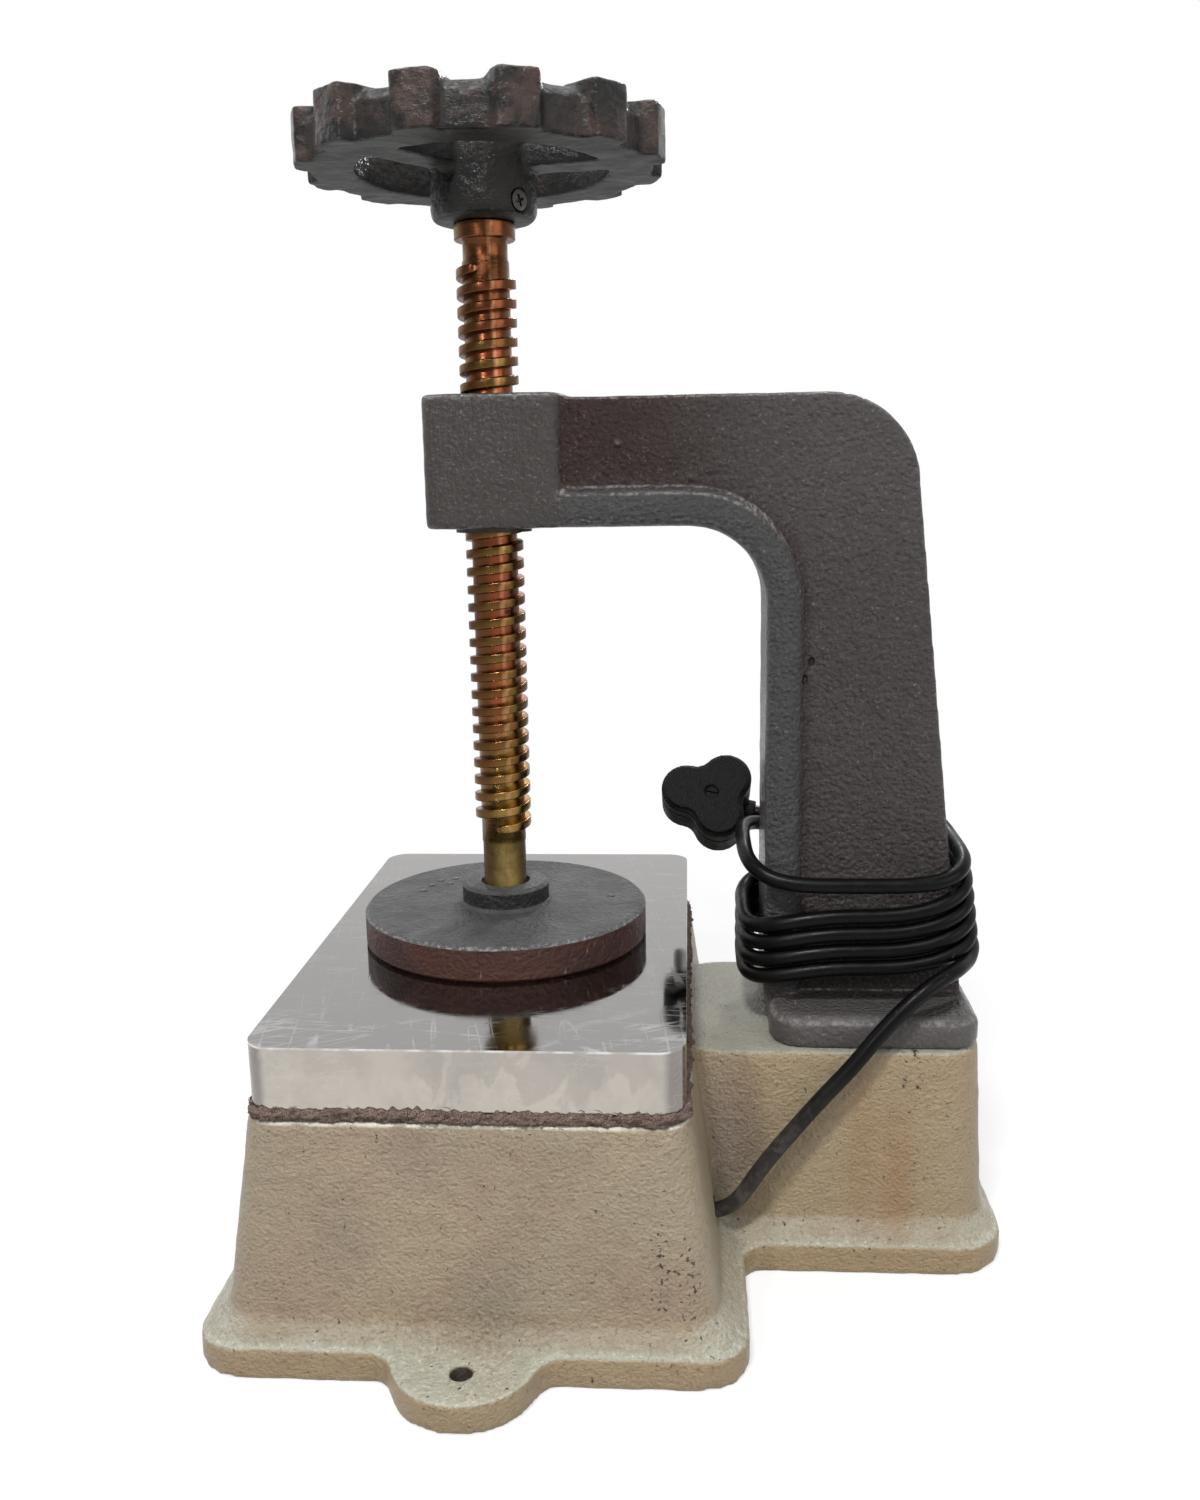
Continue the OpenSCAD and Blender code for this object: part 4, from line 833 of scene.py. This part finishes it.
class VULCANIZER_OT_camera(bpy.types.Operator):
    """Place the camera at the photograph's view"""

    bl_idname = "vulcanizer.camera"
    bl_label = "Camera"

    def execute(self, context):
        # Place, turn in radians and focal length that fit the photograph
        at = Vector((0.087769, -0.592538, 0.345178))
        yaw, pitch, roll, focal_px, frame_px = -0.0701998, 0.2042287, 0.0173270, 1305.69, 1500.0
        forward = Vector((math.sin(yaw) * math.cos(pitch), math.cos(yaw) * math.cos(pitch), -math.sin(pitch)))
        level = Vector((math.cos(yaw), -math.sin(yaw), 0.0))
        down = forward.cross(level)
        right = math.cos(roll) * level + math.sin(roll) * down
        lower = -math.sin(roll) * level + math.cos(roll) * down
        data = bpy.data.cameras.new("photo_view")
        data.sensor_width = 36.0
        data.lens = focal_px / frame_px * data.sensor_width
        data.clip_start, data.clip_end = 0.01, 50.0
        camera = add_object("photo_view", data)
        turn = Matrix((right, -lower, -forward)).transposed().to_4x4()
        camera.matrix_world = Matrix.Translation(at) @ turn
        context.scene.camera = camera
        return {"FINISHED"}


# Cord


def winding_point(t):
    """Middle of the cord at turn t round the column, in millimetres."""
    c, s = math.cos(2 * math.pi * t), math.sin(2 * math.pi * t)
    # Each turn dips on its way round; the last but one is lifted, and the end rises to the plug
    ease = min(1.0, max(0.0, (t - 4.98) / 0.22))
    z = WINDING_Z + WINDING_PITCH * t + 10 * math.cos(2 * math.pi * (t - 0.07))
    z += 24 * math.exp(-(((t - 4.48) / 0.23) ** 2)) + 8 * ease * ease * (3 - 2 * ease)
    # Round the column, which is narrower higher up
    left, right = 112.5, 211 + (WINDING_Z + 41.7 - z) * 0.13 - 2 * s
    half_x, half_y, squareness = (right - left) / 2, 36, 4.5
    x = left + half_x + half_x * math.copysign(abs(c) ** (2 / squareness), c)
    y = half_y * math.copysign(abs(s) ** (2 / squareness), s)
    return (x, y, z)


def plug_point(p):
    """A point of the plug's own frame in the frame of the part, in millimetres."""
    turn = Matrix.Rotation(math.radians(PLUG_TILT), 3, "X") @ Matrix.Rotation(math.radians(PLUG_ROLL), 3, "Z")
    return tuple(Vector(PLUG_PLACE) + turn @ Vector(p))


def cord_line():
    """Middle line of the whole cord, in metres, from the base to the plug."""
    steps = round((WINDING_TO - WINDING_FROM) * 400)
    turns = [winding_point(WINDING_FROM + (WINDING_TO - WINDING_FROM) * k / steps) for k in range(steps + 1)]
    turns = resample(turns, 2.0)
    route = [(x, y, ENTRY_Z + (LEAD_TOP - ENTRY_Z) * share) for x, y, share in LEAD_PLACES]
    per_span = 12
    lead = catmull([*route, turns[0], turns[6]], per_span)[:-per_span]
    outlet = [plug_point((-PLUG_OUTLET - d * CORD_D, 0, PLUG_OUTLET_Z)) for d in (1.0, 0.0)]
    per_span = 10
    tail = catmull([turns[-8], turns[-1], *TAIL_PLACES, *outlet], per_span)[per_span:]
    line = np.concatenate([np.array(lead), turns[1:-1], np.array(tail)])
    return relax(resample(line, 2.4), rounds=4) * MM


class VULCANIZER_OT_cord(bpy.types.Operator):
    """Wind the mains cord round the column, from the base to its plug"""

    bl_idname = "vulcanizer.cord"
    bl_label = "Mains cord"

    def execute(self, context):
        line = cord_line()
        curve = bpy.data.curves.new("mains_cord", "CURVE")
        curve.dimensions = "3D"
        spline = curve.splines.new("POLY")
        spline.points.add(len(line) - 1)
        for point, at in zip(spline.points, line):
            point.co = (*at, 1.0)
        spline.use_smooth = True
        curve.bevel_depth = sizes().cord_diameter / 2
        curve.bevel_resolution = 5
        curve.use_fill_caps = True
        cord = add_object("mains_cord", curve)
        rubber = cord_rubber(finishes())
        dress(cord, rubber)
        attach(cord, "frame")
        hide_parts("cord_lead", "cord_winding")
        dress_nodes(["cord_inside", "cord_grommet"], rubber)
        return {"FINISHED"}


# Castings


def soften_casting(node, cell, rounds, wave_mm, depth_mm):
    """Rounds a CAD casting's edges and gives its skin the waves of sand casting, without moving it."""
    piece = NODES[node]
    grid = piece.modifiers.new("even_grid", "REMESH")
    grid.mode = "VOXEL"
    grid.voxel_size = cell
    grid.use_smooth_shade = True
    rounding = piece.modifiers.new("rounded_edges", "SMOOTH")
    rounding.factor = 0.5
    rounding.iterations = rounds
    waves = bpy.data.textures.new(node + "_waves", "CLOUDS")
    waves.noise_scale = wave_mm * MM
    waves.noise_depth = 2
    sand = piece.modifiers.new("cast_waves", "DISPLACE")
    sand.texture = waves
    sand.texture_coords = "LOCAL"
    sand.strength = depth_mm * MM
    sand.mid_level = 0.6


class VULCANIZER_OT_base(bpy.types.Operator):
    """Finish the base casting"""

    bl_idname = "vulcanizer.base"
    bl_label = "Base casting"

    def execute(self, context):
        soften_casting("base_casting", sizes().base_cell, rounds=7, wave_mm=9.0, depth_mm=0.8)
        dress(NODES["base_casting"], cream_enamel(finishes()))
        return {"FINISHED"}


class VULCANIZER_OT_arm(bpy.types.Operator):
    """Finish the arm casting"""

    bl_idname = "vulcanizer.arm"
    bl_label = "Arm casting"

    def execute(self, context):
        soften_casting("arm_casting", sizes().arm_cell, rounds=8, wave_mm=8.0, depth_mm=0.5)
        dress(NODES["arm_casting"], hammered_enamel(finishes()))
        return {"FINISHED"}


class VULCANIZER_OT_handwheel(bpy.types.Operator):
    """Finish the handwheel"""

    bl_idname = "vulcanizer.handwheel"
    bl_label = "Handwheel"

    def execute(self, context):
        soften_casting("handwheel", sizes().wheel_cell, rounds=9, wave_mm=9.0, depth_mm=0.9)
        dress(NODES["handwheel"], charcoal_enamel(finishes()))
        return {"FINISHED"}


# Plate, packing and disc


class VULCANIZER_OT_plate(bpy.types.Operator):
    """Finish the heating plate"""

    bl_idname = "vulcanizer.plate"
    bl_label = "Heating plate"

    def execute(self, context):
        edge = NODES["heating_plate"].modifiers.new("broken_edge", "BEVEL")
        edge.width = sizes().plate_edge
        edge.segments = 3
        edge.limit_method = "ANGLE"
        edge.angle_limit = math.radians(50)
        dress(NODES["heating_plate"], polished_plate(finishes()))
        return {"FINISHED"}


def rounded_outline(half_x, half_y, radius, step):
    """Closed outline of a rounded rectangle as points an even step apart, with their outward directions."""
    points = []
    for corner, (sx, sy) in enumerate(((1, 1), (-1, 1), (-1, -1), (1, -1))):
        x, y = sx * (half_x - radius), sy * (half_y - radius)
        for k in range(25):
            a = math.pi / 2 * (corner + k / 24)
            points.append((x + radius * math.cos(a), y + radius * math.sin(a), 0))
    points.append(points[0])
    line = resample(points, step)[:-1]
    ahead = np.roll(line, -1, axis=0) - np.roll(line, 1, axis=0)
    out = np.stack([ahead[:, 1], -ahead[:, 0], 0 * ahead[:, 0]], axis=1)
    return line, out / np.linalg.norm(out, axis=1)[:, None]


def waver(p, scale, level):
    """Even noise at a place on the outline."""
    return noise.noise(Vector((p[0] * scale, p[1] * scale, level)))


class VULCANIZER_OT_packing(bpy.types.Operator):
    """Squeeze the packing out unevenly between base and plate"""

    bl_idname = "vulcanizer.packing"
    bl_label = "Packing"

    def execute(self, context):
        low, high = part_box("packing_strip")
        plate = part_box("heating_plate")[1]
        line, out = rounded_outline(plate.x, plate.y, PLATE_CORNER * MM, 0.7 * MM)
        bulge, tall, depth = sizes().packing_bulge, high.z - low.z, PACKING_DEPTH * MM
        levels = (0.0, 0.1, 0.25, 0.4, 0.55, 0.7, 0.85, 1.0, 1.1)
        verts = []
        for share in levels:
            belly = math.sin(math.pi * min(1.0, share * 0.62 + 0.24))
            for p, n in zip(line, out):
                lump = noise.fractal(Vector((p[0] * 140, p[1] * 140, share * 1.5)), 1.0, 2.0, 4)
                crumb, grit = waver(p, 650, share * 5.0), waver(p, 1500, share * 11.0)
                push = bulge * (0.3 + belly * (0.6 + 0.85 * lump + 0.5 * crumb + 0.35 * grit))
                push = max(-0.5 * MM if share < 0.95 else 0.12 * MM, push)
                ragged = 0.45 * waver(p, 420, 7.0) + 0.4 * waver(p, 36, 3.0) if share > 1 else 0.0
                z = low.z + tall * max(0.0, share + ragged)
                if share < 0.05:
                    z -= 0.8 * max(0.0, push - 1.8 * MM)
                verts.append((p[0] + n[0] * push, p[1] + n[1] * push, z))
        for share in (1.0, 0.0):
            for p, n in zip(line, out):
                verts.append((p[0] - n[0] * depth, p[1] - n[1] * depth, low.z + tall * share))
        faces = grid_faces(len(levels) + 2, len(line), closed_rows=True)
        self.add_fibres(verts, faces, line, out, low.z, tall)
        packing = new_piece("packing", verts, faces, "frame")
        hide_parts("packing_strip")
        dress(packing, packing_fibre(finishes()))
        return {"FINISHED"}

    def add_fibres(self, verts, faces, line, out, bottom, tall):
        """Loose fibres along the seam, as thin three-sided slivers."""
        dice = random.Random(5)
        for _ in range(sizes().fibre_count):
            k = dice.randrange(len(line))
            away = Vector(out[k])
            along = Vector((-away.y, away.x, 0.0))
            start = Vector(line[k]) + away * dice.uniform(0.6, 1.6) * MM
            start.z = bottom + tall * dice.uniform(0.05, 1.2)
            lean = Vector((0, 0, dice.uniform(-0.5, 0.5)))
            aim = (along * dice.choice((-1, 1)) + lean + away * dice.uniform(-0.1, 0.45)).normalized()
            reach, thick = dice.uniform(1.2, 4.5) * MM, dice.uniform(0.12, 0.3) * MM
            cross = aim.cross(away).normalized()
            first = len(verts)
            for share, width in ((0.0, 0.6), (0.5, 1.0), (1.0, 0.25)):
                at = start + aim * reach * share + cross * reach * 0.12 * math.sin(3.0 * share)
                at.z = max(at.z, bottom + 0.1 * MM)
                for turn in range(3):
                    a = 2 * math.pi * turn / 3
                    verts.append(tuple(at + (cross * math.cos(a) + away * math.sin(a)) * thick * width))
            faces += grid_faces(3, 3, start=first)
            faces += [(first + 2, first + 1, first), (first + 6, first + 7, first + 8)]


class VULCANIZER_OT_disc(bpy.types.Operator):
    """Finish the pressure disc"""

    bl_idname = "vulcanizer.disc"
    bl_label = "Pressure disc"

    def execute(self, context):
        smooth_by_angle(NODES["pressure_disc"], degrees=35)
        dress(NODES["pressure_disc"], disc_paint(finishes()))
        return {"FINISHED"}


# Press screw


def screw_core():
    """Points and faces of the plain core of the press screw, in millimetres."""
    bottom, top = (corner.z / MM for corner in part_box("press_screw"))
    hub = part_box("handwheel")[0].z / MM
    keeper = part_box("disc_retaining_screw")
    groove = (keeper[0].z + keeper[1].z) / 2 / MM
    root = THREAD_D / 2 - THREAD_DEPTH
    thread_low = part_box("pressure_disc")[1].z / MM + JOURNAL_H
    under = hub - SHOULDER_H
    neck = under - NECK_H
    profile = [
        (END_R, bottom), (JOURNAL_R, bottom + 1.0), (JOURNAL_R, groove - 2.9), (GROOVE_R, groove - 2.8),
        (GROOVE_R, groove + 2.8), (JOURNAL_R, groove + 2.9), (JOURNAL_R, thread_low - 0.4), (root, thread_low),
        (root, neck - 1.0), (NECK_R, neck), (NECK_R, under - 0.4), (JOURNAL_R, under), (SHOULDER_R - 0.35, under),
        (SHOULDER_R, under + 0.4), (SHOULDER_R, hub - 0.6), (SHOULDER_R - 0.55, hub), (END_R, hub),
        (END_R, top - 1.0), (END_R - 1.0, top),
    ]
    return lathe(profile, steps=96)


def screw_ridge(steps):
    """Points and faces of the helical ridge of the thread, in millimetres, fading out at its ends."""
    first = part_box("pressure_disc")[1].z / MM + JOURNAL_H + 1.5
    root = THREAD_D / 2 - THREAD_DEPTH
    width = CREST_W + 2 * FLANK_W
    start = THREAD_PITCH - width
    # Profile as (height over the root, distance along the axis), with rounded crest edges
    profile = [(-0.9, -0.05), (0.0, -0.05), (0.35, 0.12)]
    quarter = [math.pi / 2 * k / 4 for k in range(5)]
    for a in quarter:
        profile.append((THREAD_DEPTH - CREST_R + CREST_R * math.sin(a), CREST_EDGE + CREST_R - CREST_R * math.cos(a)))
    for a in quarter:
        along = width - CREST_EDGE - CREST_R + CREST_R * math.sin(a)
        profile.append((THREAD_DEPTH - CREST_R + CREST_R * math.cos(a), along))
    profile += [(0.35, width - 0.12), (0.0, width + 0.05), (-0.9, width + 0.05)]
    total = THREAD_TURNS * steps
    verts = []
    for i in range(total + 1):
        angle = math.radians(THREAD_START) + 2 * math.pi * i / steps
        fade = min(1.0, (i + 0.001) / (steps / 10), (total - i + 0.001) / (steps / 10))
        fade = math.sqrt(max(0.0, 1 - (1 - fade) ** 2))
        for rise, along in profile:
            r = root + (rise * fade if rise > 0 else rise)
            mid = (along - width / 2) * (0.35 + 0.65 * fade) + width / 2
            z = first + THREAD_PITCH * i / steps + start + mid
            verts.append((r * math.cos(angle), r * math.sin(angle), z))
    count = len(profile)
    faces = [tuple(reversed(f)) for f in grid_faces(total + 1, count)]
    faces.append(tuple(range(count)))
    faces.append(tuple(reversed(range(total * count, (total + 1) * count))))
    return verts, faces


class VULCANIZER_OT_press_screw(bpy.types.Operator):
    """Cut the press screw with its rounded square thread"""

    bl_idname = "vulcanizer.press_screw"
    bl_label = "Press screw"

    def execute(self, context):
        core_verts, core_faces = screw_core()
        ridge_verts, ridge_faces = screw_ridge(steps=56)
        shift = len(core_verts)
        verts = [tuple(c * MM for c in v) for v in core_verts + ridge_verts]
        faces = core_faces + [tuple(i + shift for i in f) for f in ridge_faces]
        screw = new_piece("threaded_screw", verts, faces, "screw")
        tidy_normals(screw)
        smooth_by_angle(screw, degrees=40)
        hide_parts("press_screw")
        dress(screw, zinc_gold(finishes()))
        return {"FINISHED"}


def tidy_normals(piece):
    """Points the faces of each closed shell outwards."""
    shell = bmesh.new()
    shell.from_mesh(piece.data)
    bmesh.ops.recalc_face_normals(shell, faces=shell.faces)
    shell.to_mesh(piece.data)
    shell.free()


# Plug, small parts and heater


class VULCANIZER_OT_plug(bpy.types.Operator):
    """Finish the plug"""

    bl_idname = "vulcanizer.plug"
    bl_label = "Plug"

    def execute(self, context):
        for node in ("plug_body", "plug_cover"):
            soften_casting(node, sizes().plug_cell, rounds=6, wave_mm=6.0, depth_mm=0.0)
        dress_nodes(["plug_body", "plug_cover", "plug_cover_screw", "cord_clamp"], plug_plastic(finishes()))
        return {"FINISHED"}


class VULCANIZER_OT_small_parts(bpy.types.Operator):
    """Finish the screws, bolts, washers, nuts and pins"""

    bl_idname = "vulcanizer.small_parts"
    bl_label = "Screws, bolts and pins"

    def execute(self, context):
        bright_nodes = (
            "bottom_cover", "bottom_cover_screws", "clamp_plate", "clamp_studs", "clamp_nuts", "plate_bolt_washers",
            "terminal_block_screws", "cord_clamp_screws", "arm_bolt_washers", "plug_pins",
        )
        black_nodes = ("plate_bolts", "arm_bolts", "disc_retaining_screw")
        # Name of the finish, its tone, its tarnish, its lowest and highest roughness, and what has it
        for *metal, nodes in (
            ("zinc_bright", (0.56, 0.57, 0.58), (0.30, 0.29, 0.27), 0.24, 0.42, bright_nodes),
            ("black_oxide", (0.05, 0.05, 0.052), (0.09, 0.06, 0.045), 0.32, 0.5, black_nodes),
            ("worn_steel", (0.135, 0.125, 0.12), (0.05, 0.042, 0.04), 0.28, 0.48, ("wheel_set_screw",)),
            ("bare_brass", (0.66, 0.47, 0.17), (0.34, 0.22, 0.09), 0.2, 0.4, ("terminal_screws", "earth_screw")),
            ("machined_iron", (0.055, 0.05, 0.045), (0.035, 0.028, 0.022), 0.35, 0.55, ("screw_nut",)),
        ):
            dress_nodes(nodes, plated_steel(*metal))
        for node in (*bright_nodes, "arm_bolts", "wheel_set_screw", "plug_cover_screw", "screw_nut"):
            smooth_by_angle(NODES[node], degrees=35)
        return {"FINISHED"}


class VULCANIZER_OT_heater(bpy.types.Operator):
    """Finish the heater and its wiring inside the base"""

    bl_idname = "vulcanizer.heater"
    bl_label = "Heater and wiring"

    def execute(self, context):
        # Node, name of its finish, two tones and roughness
        for node, *board in (
            ("heating_element", "mica_sheet", (0.52, 0.42, 0.25), (0.36, 0.27, 0.15), 0.35),
            ("insulation_board", "fibre_board", (0.68, 0.65, 0.58), (0.54, 0.5, 0.43), 0.75),
            ("element_leads", "woven_sleeving", (0.66, 0.63, 0.56), (0.5, 0.46, 0.38), 0.7),
            ("earth_lead", "earth_sleeving", (0.09, 0.28, 0.07), (0.55, 0.5, 0.05), 0.4),
        ):
            dress(NODES[node], heater_board(*board))
        dress(NODES["terminal_block"], glazed_ceramic(finishes()))
        return {"FINISHED"}


# Stage


def lamp(name, at, size, power_w):
    """Round lamp that looks at the middle of the press."""
    data = bpy.data.lights.new(name, "AREA")
    data.shape = "DISK"
    data.size = size
    data.energy = power_w
    light = add_object(name, data)
    at = Vector(at)
    direction = Vector((0.05, 0.0, 0.22)) - at
    light.matrix_world = Matrix.Translation(at) @ direction.to_track_quat("-Z", "Y").to_matrix().to_4x4()


def pale_floor(stage):
    """White to the camera and in mirrors, duller where it throws light back, with the press's shadow on it."""
    material, tree = start_material("pale_floor")
    tree.nodes.clear()
    rays = fields(put(tree, "ShaderNodeLightPath"))
    seen = most(most(rays["Is Camera Ray"], rays["Is Glossy Ray"]), rays["Is Transmission Ray"])
    matte = put(tree, "ShaderNodeBsdfDiffuse", {"Color": mixed(seen, stage.floor_bounce, stage.floor_tone)})
    glow = put(tree, "ShaderNodeEmission", {"Color": WHITE, "Strength": 1.0})
    x, y, _ = parts_of(place(tree))
    share = seen * from_axis(x, y).spread(0.28, 0.8, 0.70, 1.0)
    # Mirrors show it dimmer behind the press
    share = share * (1.0 - rays["Is Glossy Ray"] * y.spread(-0.1, 0.5, 0.0, 0.8))
    both = put(tree, "ShaderNodeMixShader", {0: share, 1: matte.outputs[0], 2: glow.outputs[0]})
    put(tree, "ShaderNodeOutputMaterial", {"Surface": both.outputs[0]})
    return material


def studio_world(stage):
    """White behind the press for the camera, a dimmer room in mirrors, and even light all round."""
    world = bpy.data.worlds.new("studio")
    world.use_nodes = True
    tree = world.node_tree
    tree.nodes.clear()
    rays = fields(put(tree, "ShaderNodeLightPath"))
    _, back, _ = parts_of(put(tree, "ShaderNodeTexCoord").outputs["Generated"])
    mirrored = most(rays["Is Glossy Ray"], rays["Is Transmission Ray"])
    mirrored = mirrored * back.spread(-0.2, 0.4, stage.room_strength, 1.0)
    level = most(most(rays["Is Camera Ray"], mirrored), stage.sky_strength)
    sky = put(tree, "ShaderNodeBackground", {"Color": WHITE, "Strength": level})
    put(tree, "ShaderNodeOutputWorld", {"Surface": sky.outputs[0]})
    return world


class VULCANIZER_OT_stage(bpy.types.Operator):
    """Lay the pale floor and set the studio light"""

    bl_idname = "vulcanizer.stage"
    bl_label = "Floor and light"

    def execute(self, context):
        stage = context.scene.vulcanizer_stage
        reach = 6.0
        corners = [(-reach, -reach, 0), (reach, -reach, 0), (reach, reach, 0), (-reach, reach, 0)]
        mesh = bpy.data.meshes.new("floor")
        mesh.from_pydata(corners, [], [(0, 1, 2, 3)])
        floor = add_object("floor", mesh)
        floor.location.z = FLOOR_Z
        dress(floor, pale_floor(stage))
        context.scene.world = studio_world(stage)
        lamp("key_light", (-0.13, -0.82, 1.45), 0.2, stage.key_power)
        lamp("fill_light", (1.2, -0.9, 0.8), 1.2, stage.fill_power)
        lamp("side_light", (-1.3, 0.35, 1.2), 1.8, stage.side_power)
        lamp("top_light", (0.15, 0.35, 1.5), 0.8, stage.top_power)
        lamp("back_light", (0.35, 1.15, 1.1), 0.14, stage.back_power)
        lamp("glint_light", (-0.5, -1.3, 0.95), 0.06, stage.glint_power)
        context.scene.view_settings.view_transform = "Standard"
        return {"FINISHED"}


class VULCANIZER_PT_panel(bpy.types.Panel):
    """Steps of the vulcanizer, in the order in which they are made"""

    bl_idname = "VULCANIZER_PT_panel"
    bl_label = "Vulcanizer"
    bl_space_type = "VIEW_3D"
    bl_region_type = "UI"
    bl_category = "Vulcanizer"

    def draw(self, context):
        for group in ("vulcanizer_sizes", "vulcanizer_finishes", "vulcanizer_stage"):
            box = self.layout.box()
            values = getattr(context.scene, group)
            for key in values.bl_rna.properties.keys():
                if key not in ("rna_type", "name"):
                    box.prop(values, key)
        for operator in STEPS:
            self.layout.operator(operator.bl_idname)


STEPS = (
    VULCANIZER_OT_camera,
    VULCANIZER_OT_cord,
    VULCANIZER_OT_base,
    VULCANIZER_OT_arm,
    VULCANIZER_OT_handwheel,
    VULCANIZER_OT_plate,
    VULCANIZER_OT_packing,
    VULCANIZER_OT_disc,
    VULCANIZER_OT_press_screw,
    VULCANIZER_OT_plug,
    VULCANIZER_OT_small_parts,
    VULCANIZER_OT_heater,
    VULCANIZER_OT_stage,
)
GROUPS = (
    ("vulcanizer_sizes", VulcanizerSizes),
    ("vulcanizer_finishes", VulcanizerFinishes),
    ("vulcanizer_stage", VulcanizerStage),
)


def register():
    for key, group in GROUPS:
        bpy.utils.register_class(group)
        setattr(bpy.types.Scene, key, bpy.props.PointerProperty(type=group))
    for step in (*STEPS, VULCANIZER_PT_panel):
        bpy.utils.register_class(step)


def unregister():
    for step in reversed((*STEPS, VULCANIZER_PT_panel)):
        bpy.utils.unregister_class(step)
    for key, group in reversed(GROUPS):
        delattr(bpy.types.Scene, key)
        bpy.utils.unregister_class(group)


def main():
    register()
    make_node_groups()
    bpy.ops.vulcanizer.camera()
    bpy.ops.vulcanizer.cord()
    bpy.ops.vulcanizer.base()
    bpy.ops.vulcanizer.arm()
    bpy.ops.vulcanizer.handwheel()
    bpy.ops.vulcanizer.plate()
    bpy.ops.vulcanizer.packing()
    bpy.ops.vulcanizer.disc()
    bpy.ops.vulcanizer.press_screw()
    bpy.ops.vulcanizer.plug()
    bpy.ops.vulcanizer.small_parts()
    bpy.ops.vulcanizer.heater()
    bpy.ops.vulcanizer.stage()


if __name__ == "__main__":
    main()
